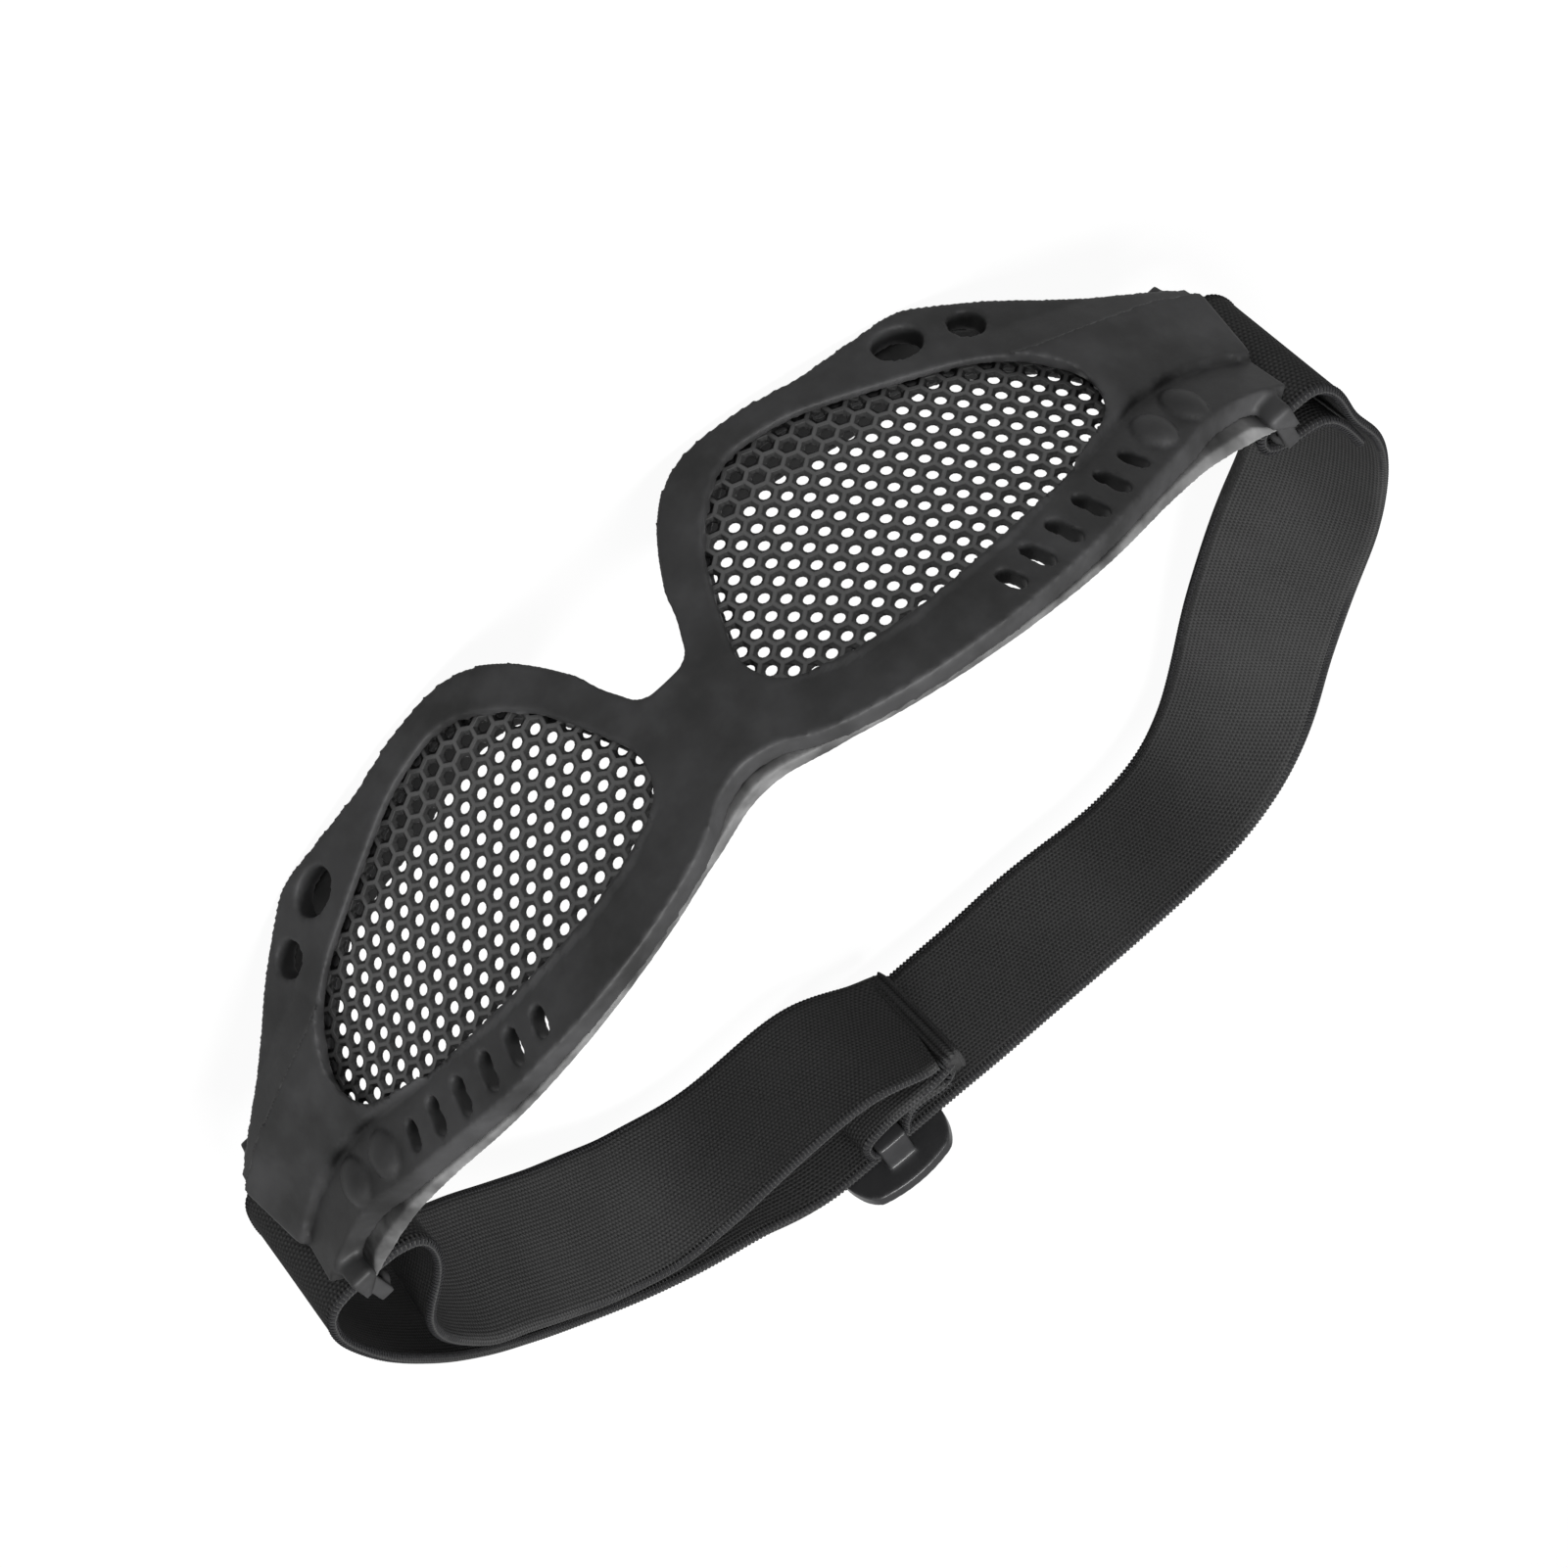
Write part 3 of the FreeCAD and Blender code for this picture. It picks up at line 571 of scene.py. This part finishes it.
def ring(radius, depth, six_sided=True):
    """Twelve points in a ring; on a six-sided one every second point lies on a side."""
    points = []
    for k in range(CORNERS):
        angle = 2 * math.pi * k / CORNERS
        reach = radius * MM * (math.cos(math.pi / 6) if six_sided and k % 2 else 1)
        points.append((reach * math.sin(angle), depth * MM, reach * math.cos(angle)))
    return points


def cell_shape():
    """From the front web down the dimple, through the hole and out over the back."""
    tile, dimple, half = PITCH / math.sqrt(3), DIMPLE / math.sqrt(3), SHEET / 2
    rings = [
        ring(tile, -half), ring(dimple * 1.06, -half), ring(dimple * 0.96, -half + 0.10),
        ring(HOLE, 0.02, False), ring(HOLE, half, False), ring(tile, half),
    ]
    faces = []
    for level in range(len(rings) - 1):
        for k in range(CORNERS):
            a, b = level * CORNERS + k, level * CORNERS + (k + 1) % CORNERS
            faces.append((a, a + CORNERS, b + CORNERS, b))
    piece = loose("honeycomb_cell", [point for level in rings for point in level], faces)
    # 1 on the front web, 0.8 at the dimple's rim and 0 in the well, for the coat's painted
    # highlight and painted shade
    worn = piece.data.attributes.new("worn", "FLOAT", "POINT")
    worn.data.foreach_set("value", np.repeat([1.0, 0.8, 0.0, 0.0, 0.0, 0.0], CORNERS))
    return piece


cell = cell_shape()
print("cell faces", len(cell.data.polygons))

# %% Lens openings
LENS = [(8.8, 6.0), (10.5, 10.5), (17.9, 14.1), (28, 15.2), (45, 13.0), (62.9, 7.2),
        (69.4, 2.6), (70.4, -3.5), (66.5, -9.0), (44.3, -18.3), (33, -21.1), (25, -20.8),
        (18.5, -16.0), (10.8, -2.2)]


def cubic(points, count, closed=False):
    """Points of a smooth cubic line through the given ones, evenly spread by chord length."""
    given = np.array(points, float)
    if closed:
        given = np.vstack([given[-3:], given, given[:4]])
    gaps = np.linalg.norm(np.diff(given, axis=0), axis=1)
    knots = np.concatenate([[0], np.cumsum(gaps)])
    n = len(given)
    system = np.eye(n)
    sides = np.zeros_like(given)
    for k in range(1, n - 1):
        a, b = gaps[k - 1], gaps[k]
        system[k, k - 1 : k + 2] = (a, 2 * (a + b), b)
        sides[k] = 6 * ((given[k + 1] - given[k]) / b - (given[k] - given[k - 1]) / a)
    bend = np.linalg.solve(system, sides)
    first, last = (knots[3], knots[-4]) if closed else (knots[0], knots[-1])
    places = np.linspace(first, last, count, endpoint=not closed)
    k = np.clip(np.searchsorted(knots, places, side="right") - 1, 0, n - 2)
    h = gaps[k][:, None]
    t = ((places - knots[k]) / gaps[k])[:, None]
    return (
        given[k] * (1 - t) + given[k + 1] * t
        + ((1 - t) ** 3 - (1 - t)) * bend[k] * h * h / 6
        + (t**3 - t) * bend[k + 1] * h * h / 6
    )


def sheet_blank(name, side, grow):
    """The flat outline of a sheet, a little larger than its opening, as one face."""
    line = cubic(LENS, 120, closed=True)
    ahead = np.roll(line, -1, axis=0) - np.roll(line, 1, axis=0)
    ahead /= np.linalg.norm(ahead, axis=1)[:, None]
    line = line + np.stack([-ahead[:, 1], ahead[:, 0]], axis=1) * grow
    corners = [(side * x * MM, 0.0, z * MM) for x, z in line]
    wide, tall = np.ptp(line, axis=0)
    print(name, "is cut from a flat sheet of", round(wide, 1), "by", round(tall, 1), "mm")
    return loose(name, corners, [tuple(range(len(corners)))])


# %% Tree for a punched sheet
LATTICE_TURN = math.radians(12.4)
IN_GROOVE = 1.92  # how far the sheet reaches past its opening


def punched_sheet(name, side, start):
    blank = sheet_blank(name, side, IN_GROOVE)
    tree = Tree(
        "punch_" + name,
        Pitch=("NodeSocketFloat", PITCH * MM),
        Wrap=("NodeSocketFloat", WRAP * MM),
        Lean=("NodeSocketFloat", LATTICE_TURN * side),
        Rows=("NodeSocketInt", 61),
        Cell=("NodeSocketObject", cell),
    )
    pitch = tree.input("Pitch")
    rows = tree.input("Rows")
    width = tree.math("MULTIPLY", tree.math("SUBTRACT", rows, 1.0), pitch)
    tall = tree.math("MULTIPLY", width, math.sqrt(3) / 2)
    grid = tree.node("GeometryNodeMeshGrid", [width, tall, rows, rows])
    row = tree.math("FLOORED_MODULO", tree.node("GeometryNodeInputIndex"), rows)
    odd = tree.math("FLOORED_MODULO", row, 2.0)
    half_step = tree.math("MULTIPLY", odd, tree.math("MULTIPLY", pitch, 0.5))
    push = tree.node("ShaderNodeCombineXYZ", [half_step, 0.0, 0.0])
    lattice = tree.node("GeometryNodeSetPosition", {"Geometry": grid, "Offset": push})
    stand = tree.node("ShaderNodeCombineXYZ", [math.pi / 2, tree.input("Lean"), 0.0])
    upright = tree.node("GeometryNodeTransform", {"Geometry": lattice, "Rotation": stand})
    where = (start[0] * MM, 0, start[1] * MM)
    placed = tree.node("GeometryNodeTransform", {"Geometry": upright, "Translation": where})
    turn = tree.node("ShaderNodeCombineXYZ", [0.0, tree.input("Lean"), 0.0])
    shape = tree.node("GeometryNodeObjectInfo", {"Object": tree.input("Cell")}, output="Geometry")
    cells = tree.node(
        "GeometryNodeInstanceOnPoints", {"Points": placed, "Instance": shape, "Rotation": turn}
    )
    real = tree.node("GeometryNodeRealizeInstances", [cells])
    real = tree.node("GeometryNodeMergeByDistance", {"Geometry": real, "Distance": 0.00001})
    # a face is kept where a ray through its middle meets the flat blank
    spot = tree.node("GeometryNodeInputPosition")
    axes = tree.node("ShaderNodeSeparateXYZ", [spot], output=None)
    above = tree.node("ShaderNodeCombineXYZ", [axes.outputs[0], -0.01, axes.outputs[2]])
    ray = tree.node(
        "GeometryNodeRaycast",
        {
            "Target Geometry": tree.input(),
            "Source Position": above,
            "Ray Direction": (0, 1, 0),
            "Ray Length": 0.02,
        },
    )
    missed = tree.node("FunctionNodeBooleanMath", [ray], operation="NOT")
    kept = tree.node(
        "GeometryNodeDeleteGeometry", {"Geometry": real, "Selection": missed}, domain="FACE"
    )
    # what is kept is rolled round the wrap's axis
    wrap = tree.input("Wrap")
    angle = tree.math("DIVIDE", axes.outputs[0], wrap)
    reach = tree.math("SUBTRACT", wrap, axes.outputs[1])
    bent = tree.node(
        "ShaderNodeCombineXYZ",
        [
            tree.math("MULTIPLY", reach, tree.math("SINE", angle)),
            tree.math("SUBTRACT", wrap, tree.math("MULTIPLY", reach, tree.math("COSINE", angle))),
            axes.outputs[2],
        ],
    )
    curved = tree.node("GeometryNodeSetPosition", {"Geometry": kept, "Position": bent})
    return tree.run(blank, curved, STEEL)


# %% Both lenses
for side, name, node, start in (
    (1, "lens_mesh_left", "lens_left", (38.04, -2.08)),
    (-1, "lens_mesh_right", "lens_right", (-35.05, 0.07)),
):
    lens = punched_sheet(name, side, start)
    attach(lens, "goggles")
    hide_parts(node)
bpy.data.objects.remove(cell)

# %% [markdown]
# ## Strap
# The strap is one strip of flat elastic, about 24 mm wide. It is modelled directly, as flat
# webbing keeps its width: a tree sweeps a thin rounded section along the strap's route, and
# writes how far along and across it each point is, which the weave follows.

# %% Routes of the strap
# Points are (x, y, height of the middle, lean outwards in degrees), in millimetres.
POST = (POST_RUN, 39.23)


def by_post(points, side=1):
    """Points given from the left post, or mirrored from the right one."""
    return [(side * (POST[0] + x), POST[1] + y, STRAP_LEVEL, lean) for x, y, lean in points]


def by_slider(points):
    """Points given along the slider's way and inwards from it."""
    place = []
    for along, inward, height, lean in points:
        x, y = SLIDER_AT + GUIDE_WAY * along
        place.append((x + GUIDE_WAY[1] * inward, y - GUIDE_WAY[0] * inward, height, lean))
    return place


SEWN = by_post([(7.2, 15.75, 6), (6.6, 9.75, 4), (4.8, 5.4, 2), (0, 3.2, 0), (-3.2, 0.5, 0)], -1)
TURN = [(-2.6, -2.65, 0), (2.2, -2.75, 0), (6.0, -1.9, 1), (8.2, 1.75, 2)]
REAR = [
    (-90.4, 48, -1.2, 3), (-91.2, 56.6, -1.6, 7), (-90, 65.1, -2.6, 11), (-87.4, 73.2, -4, 15),
    (-84.3, 80.7, -5.6, 20), (-80.3, 87.8, -7.2, 26), (-76.3, 94.8, -8.7, 29),
    (-72, 101.9, -9.8, 30), (-67.5, 109.1, -10.6, 30), (-62.8, 116.8, -11.1, 28),
    (-57.2, 123.2, -11, 20), (-49.9, 127.8, -10.4, 8), (-41.6, 130.3, -10, 0),
    (-33, 131.5, -10.4, -2), (-24.4, 131.3, -10.8, 1), (-15.8, 130.9, -11.2, 3),
    (-7.2, 129.98, -11.0, 1.2), (1.4, 129.07, -10.9, 1), (10, 128.17, -10.9, 0),
    (18.7, 127.25, -10.9, 0), (27.4, 126.34, -10.9, 0), (36, 125.43, -11.3, 0),
]
OUTER = [
    (44.2, 123.7, -13, 0), (52.1, 120.2, -13.3, 0), (59.3, 115.4, -13, 0),
    (65.7, 109.7, -12.5, 0), (71.4, 103.2, -11.7, 0), (76.1, 96.1, -10.3, 0),
    (80.2, 88.6, -8.6, -1), (83.5, 80.8, -6.6, -2), (86.3, 72.9, -4.8, -3),
    (88.3, 64.8, -3.1, -3), (89.9, 56.5, -1.7, -2), (90.8, 48, -1.2, 0),
]
CURL = by_post([(-4.6, -2.35, 0)]) + [
    (74.2, 38.9, -1.2, 0), (73.8, 43.5, -1.2, 0), (76.6, 49.5, -1.2, 1), (80.6, 55.5, -1.5, 4),
    (81.8, 62, -2.2, 7), (80.2, 70.6, -3.5, 10), (78.1, 76.2, -4.6, 13), (74.9, 81.3, -5.8, 15),
    (71.7, 86.6, -6.9, 16), (68.5, 91.8, -8, 17), (65, 96.7, -8.9, 18), (61.1, 101.4, -9.9, 18),
    (56.8, 105.6, -10.6, 16), (51.2, 108.5, -11, 9), (45, 110.2, -10.9, 1),
    (38.7, 111, -10.8, -4), (32.3, 111.4, -10.8, -5), (25.8, 111.8, -10.7, -5),
    (19.5, 113.2, -10.4, -6),
]
PANEL = by_slider([(-10.0, 9.7, -9.9, -9), (-13.5, 8.8, -9.4, -14)])
TAIL = by_slider([
    (-13.5, 5.2, -9.3, -14), (-10.5, 5.2, -9.4, -6), (-4.5, 4.9, -10.2, 0), (-3.55, 3.4, -10.2, 0),
    (-3.15, 2.1, -10.2, 0), (-2.1, 1.7, -10.2, 0), (2.1, 1.7, -10.2, 0), (3.15, 2.1, -10.2, 0),
    (3.55, 3.4, -10.2, 0), (3.6, 5.0, -10.2, 0), (3.0, 6.2, -10.2, 0), (1.5, 6.9, -10.2, 0),
    (-8.5, 7.5, -9.4, -6), (-13.5, 7.0, -9.3, -14),
])
outer_route = SEWN + by_post(TURN, -1) + REAR + OUTER + by_post(TURN[::-1] + [(-4.6, -2.35, 0)])
inner_route = CURL + PANEL
for title, route in (("outer", outer_route), ("inner", inner_route), ("end", TAIL)):
    run = np.diff(cubic(route, 2000)[:, :3], axis=0)
    print(title, "strap length", round(np.linalg.norm(run, axis=1).sum()), "mm")

# %% Tree that sweeps the webbing along a route
RING_CENTRE = (0.0, 60.0)
WIDE, THICK = 23.5, 1.3


def outward(line):
    """The line's direction in plan, and 1 or -1 for the side of it that faces out."""
    ahead = np.gradient(line[:, :2], axis=0)
    away = line[:, :2] - RING_CENTRE
    return ahead, np.sign(ahead[:, 0] * away[:, 1] - ahead[:, 1] * away[:, 0])


def length_stored(tree, curve, name):
    """Keeps how far along the curve each of its points lies."""
    length = tree.node("GeometryNodeSplineParameter", output="Length")
    return tree.node(
        "GeometryNodeStoreNamedAttribute",
        {"Geometry": curve, "Name": name, "Value": length},
        data_type="FLOAT",
        domain="POINT",
    )


def webbing(name, route, step):
    length = np.linalg.norm(np.diff(np.array(route), axis=0), axis=1).sum()
    line = cubic(route, int(length / step))
    curve = bpy.data.curves.new(name, "CURVE")
    curve.dimensions = "3D"
    spline = curve.splines.new("POLY")
    spline.points.add(len(line) - 1)
    for point, (x, y, z, lean), sign in zip(spline.points, line, outward(line)[1]):
        point.co = (x * MM, y * MM, z * MM, 1.0)
        point.tilt = -sign * math.radians(lean)
    path = bpy.data.objects.new(name, curve)
    bpy.context.collection.objects.link(path)
    tree = Tree(
        "sweep_" + name,
        Width=("NodeSocketFloat", WIDE * MM),
        Thickness=("NodeSocketFloat", THICK * MM),
    )
    standing = tree.node("GeometryNodeSetCurveNormal", {"Curve": tree.input()}, mode="Z_UP")
    placed = length_stored(tree, standing, "run")
    band = tree.node(
        "GeometryNodeCurvePrimitiveQuadrilateral",
        {"Width": tree.input("Thickness"), "Height": tree.input("Width")},
    )
    rounded = tree.node(
        "GeometryNodeFilletCurve", {"Curve": band, "Radius": 0.00055, "Count": 3}, mode="POLY"
    )
    split = tree.node("GeometryNodeResampleCurve", {"Curve": rounded, "Count": 44})
    swept = tree.node(
        "GeometryNodeCurveToMesh",
        {
            "Curve": placed,
            "Profile Curve": length_stored(tree, split, "girth"),
            "Fill Caps": True,
        },
    )
    run = tree.node("GeometryNodeInputNamedAttribute", {"Name": "run"}, data_type="FLOAT")
    girth = tree.node("GeometryNodeInputNamedAttribute", {"Name": "girth"}, data_type="FLOAT")
    plan = tree.node(
        "ShaderNodeCombineXYZ",
        [tree.math("MULTIPLY", run, 1000.0), tree.math("MULTIPLY", girth, 1000.0), 0.0],
    )
    mapped = tree.node(
        "GeometryNodeStoreNamedAttribute",
        {"Geometry": swept, "Name": "strap_mm", "Value": plan},
        data_type="FLOAT2",
        domain="CORNER",
    )
    strip = tree.run(path, mapped, WEBBING)
    strip.data.shade_smooth()
    return strip


# %% Long run of the strap
# From the sewn loop on the right post round the head to the left post.
strap_outer = webbing("strap_outer_run", outer_route, 1.6)
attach(strap_outer, "goggles")
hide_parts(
    "strap_loop_right", "strap_rear", "strap_guide", "strap_outer_left", "strap_fold_left",
)

# %% Inner run of the strap
# It comes back from the left post to the slider.
strap_inner = webbing("strap_inner_run", inner_route, 1.4)
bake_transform(strap_inner)
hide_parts("strap_inner_left", "strap_panel")

# %% End of the strap, sewn round the slider's middle bar
strap_end = webbing("strap_sewn_loop", TAIL, 0.6)
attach(strap_end, "adjuster")
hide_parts("strap_end_loop")

# %% [markdown]
# ## Overlocked edges
# Both edges of the elastic are bound with thread. Each stitch wraps over the edge and holds on
# to both faces. A tree spaces stitches along an edge line and turns each one to lie across it.


# %% Thread
thread = Finish("stitching_thread")
thread_noise = thread.noise(thread.place(), 1800.0, 2.0)
THREAD = thread.finish(
    thread.mix(thread_noise, (0.010, 0.010, 0.011), (0.026, 0.026, 0.027)),
    0.85,
    Specular_IOR_Level=0.1,
)
print("made", THREAD.name)


# %% One overlock stitch
def stitch_shape(rings=7, corners=6, thin=0.11, broad=0.22):
    """A flat thread that climbs over the strap's edge, closed at both ends."""
    vertices, faces = [], []
    for k in range(rings):
        bend = math.pi * (k / (rings - 1) - 0.5)
        across, height = math.sin(bend) * 0.70, math.cos(bend) * 0.80 - 0.84
        for q in range(corners):
            turn = 2 * math.pi * q / corners
            vertices.append((
                math.sin(turn) * broad * MM,
                (across + math.cos(turn) * thin * math.copysign(1, across or 1)) * MM,
                (height + math.cos(turn) * thin) * MM,
            ))
    for level in range(rings - 1):
        for q in range(corners):
            a, b = level * corners + q, level * corners + (q + 1) % corners
            faces.append((a, b, b + corners, a + corners))
    last = (rings - 1) * corners
    faces += [tuple(range(corners))[::-1], tuple(range(last, last + corners))]
    return loose("overlock_stitch", vertices, faces)


stitch = stitch_shape()
print("stitch faces", len(stitch.data.polygons))


# %% Both edge lines of a strip
def edge_lines(name, route):
    """The strip's two edges as lines that know which way the strip stands."""
    line = cubic(route, len(route) * 12)
    ahead, side = outward(line)
    ahead /= np.linalg.norm(ahead, axis=1)[:, None]
    out = np.stack([-ahead[:, 1], ahead[:, 0]], axis=1) * side[:, None]
    lean = np.radians(line[:, 3:])
    upright = np.hstack([np.sin(lean) * out, np.cos(lean)])
    half = WIDE / 2 - 0.1
    corners = np.vstack([line[:, :3] + end * half * upright for end in (1, -1)]) * MM
    count = len(line)
    edges = [(first + k, first + k + 1) for first in (0, count) for k in range(count - 1)]
    mesh = bpy.data.meshes.new(name)
    mesh.from_pydata(corners.tolist(), edges, [])
    attribute = mesh.attributes.new("upright", "FLOAT_VECTOR", "POINT")
    attribute.data.foreach_set("vector", np.vstack([upright, -upright]).ravel())
    rails = bpy.data.objects.new(name, mesh)
    bpy.context.collection.objects.link(rails)
    return rails


# %% Tree that binds the edges of a strip
def bound_edges(name, route, pitch=0.66):
    tree = Tree(
        "bind_" + name,
        Pitch=("NodeSocketFloat", pitch * MM),
        Stitch=("NodeSocketObject", stitch),
    )
    curve = tree.node("GeometryNodeMeshToCurve", {"Mesh": tree.input()})
    points = tree.node(
        "GeometryNodeCurveToPoints",
        {"Curve": curve, "Length": tree.input("Pitch")},
        output=None,
        mode="LENGTH",
    )
    shape = tree.node(
        "GeometryNodeObjectInfo", {"Object": tree.input("Stitch")}, output="Geometry"
    )
    upright = tree.node(
        "GeometryNodeInputNamedAttribute", {"Name": "upright"}, data_type="FLOAT_VECTOR"
    )
    standing = tree.node("FunctionNodeAlignRotationToVector", {"Vector": upright}, axis="Z")
    turned = tree.node(
        "FunctionNodeAlignRotationToVector",
        {"Rotation": standing, "Vector": points.outputs["Tangent"]},
        axis="X",
        pivot_axis="Z",
    )
    bound = tree.node(
        "GeometryNodeInstanceOnPoints",
        {"Points": points.outputs["Points"], "Instance": shape, "Rotation": turned},
    )
    return tree.run(edge_lines(name, route), bound, THREAD)


# %% Bound edges of the three runs
outer_binding = bound_edges("strap_outer_binding", outer_route)
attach(outer_binding, "goggles")
inner_binding = bound_edges("strap_inner_binding", inner_route)
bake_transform(inner_binding)
end_binding = bound_edges("strap_end_binding", TAIL)
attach(end_binding, "adjuster")
bpy.data.objects.remove(stitch)

# %% [markdown]
# ## Hem
# The end of the strap is turned over several times and sewn through, which leaves a stiff bar
# with upright ridges. It is a stack of the same rounded section, whose long side is wavy.


# %% Hem
HEM_AT = (-14.5, 7.0, -9.35)  # along, inwards and up, as the slider's own places are given
HEM_LEAN = math.radians(-14)


def squarish(wave):
    return np.sign(wave) * np.abs(wave) ** 0.45


def hem_bar(name, wide, deep, tall, ridges, around=72, levels=30):
    turn = np.linspace(0, 2 * math.pi, around, endpoint=False)
    along = squarish(np.cos(turn)) * wide / 2
    inward = squarish(np.sin(turn)) * deep / 2
    inward += np.sign(inward) * 0.4 * np.cos(along / wide * 2 * math.pi * ridges)
    vertices, faces = [], []
    for k in range(levels):
        part = k / (levels - 1) * 2 - 1
        shrink = 1 - 0.16 * abs(part) ** 12
        out = -(part * tall / 2) * math.sin(HEM_LEAN)
        rise = part * tall / 2 * math.cos(HEM_LEAN)
        spots = [
            (HEM_AT[0] + a * shrink, HEM_AT[1] + i * shrink, HEM_AT[2], 0)
            for a, i in zip(along, inward)
        ]
        for x, y, z, _ in by_slider(spots):
            place = (x + GUIDE_WAY[1] * out, y - GUIDE_WAY[0] * out, z + rise)
            vertices.append(tuple(value * MM for value in place))
        if k:
            for j in range(around):
                a, b = (k - 1) * around + j, (k - 1) * around + (j + 1) % around
                faces.append((a, a + around, b + around, b))
    last = (levels - 1) * around
    faces += [tuple(range(around)), tuple(range(last, last + around))[::-1]]
    bar = loose(name, vertices, faces)
    bar.data.uv_layers.new(name="strap_mm")
    for corner, uv in zip(bar.data.loops, bar.data.uv_layers["strap_mm"].data):
        uv.uv = (vertices[corner.vertex_index][2] / MM, (corner.vertex_index % around) * 0.25)
    bar.data.materials.append(WEBBING)
    bar.data.shade_smooth()
    print(name, "faces", len(faces))
    return bar


hem = hem_bar("strap_hem_fold", 3.4, 5.2, 23.0, 3)
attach(hem, "adjuster")
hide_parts("strap_hem")

# %% [markdown]
# ## Table and light
# The goggles stand on a white table in soft light. The camera sees the table as plain white
# with a faint shadow. Where the table lights the object it is a darker grey, because on the
# photograph the undersides stay dark.


# %% White table
def backdrop_finish():
    paper = Finish("white_paper")
    paper.nodes.remove(paper.shader)
    rays = paper.node("ShaderNodeLightPath").socket.node.outputs
    direct, glossy, through = (
        Value(paper, rays[name])
        for name in ("Is Camera Ray", "Is Glossy Ray", "Is Transmission Ray")
    )
    seen = (direct + glossy + through).clamp()
    glow = paper.node("ShaderNodeEmission", {"Color": (1, 1, 1, 1), "Strength": 1.0})
    tone = paper.mix(direct, (0.22, 0.22, 0.22), (0.8, 0.8, 0.8))
    pale = paper.node("ShaderNodeBsdfDiffuse", {"Color": tone})
    both = paper.node("ShaderNodeMixShader", [seen * 0.95, pale, glow])
    paper.links.new(both.socket, paper.nodes["Material Output"].inputs["Surface"])
    return paper.material


low = min(CAD_BOX[0][2], CAD_BOX[1][2])
table = loose("table", [(-3, -3, low), (3, -3, low), (3, 3, low), (-3, 3, low)], [(0, 1, 2, 3)])
table.data.materials.append(backdrop_finish())
print("table at", round(low / MM, 1), "mm")


# %% Lights
def lamp(name, where, power, width, aim=(0, 0.05, 0)):
    light = bpy.data.lights.new(name, "AREA")
    light.energy = power
    light.shape = "DISK"
    light.size = width
    holder = bpy.data.objects.new(name, light)
    holder.location = where
    holder.rotation_mode = "QUATERNION"
    holder.rotation_quaternion = (Vector(aim) - Vector(where)).to_track_quat("-Z", "Y")
    bpy.context.collection.objects.link(holder)
    print(name, power, "W")


lamp("softbox_top", (0.05, -0.10, 0.90), 19.0, 0.5)
lamp("softbox_front", (-0.2, -0.9, 0.35), 1.6, 0.6)
lamp("softbox_left", (0.95, -0.45, 0.35), 1.6, 0.4)
lamp("softbox_right", (-0.95, -0.45, 0.35), 0.7, 0.4)
world = bpy.data.worlds.new("studio")
world.use_nodes = True
sky = world.node_tree.nodes["Background"]
sky.inputs["Color"].default_value = (1, 1, 1, 1)
sky.inputs["Strength"].default_value = 0.16
bpy.context.scene.world = world
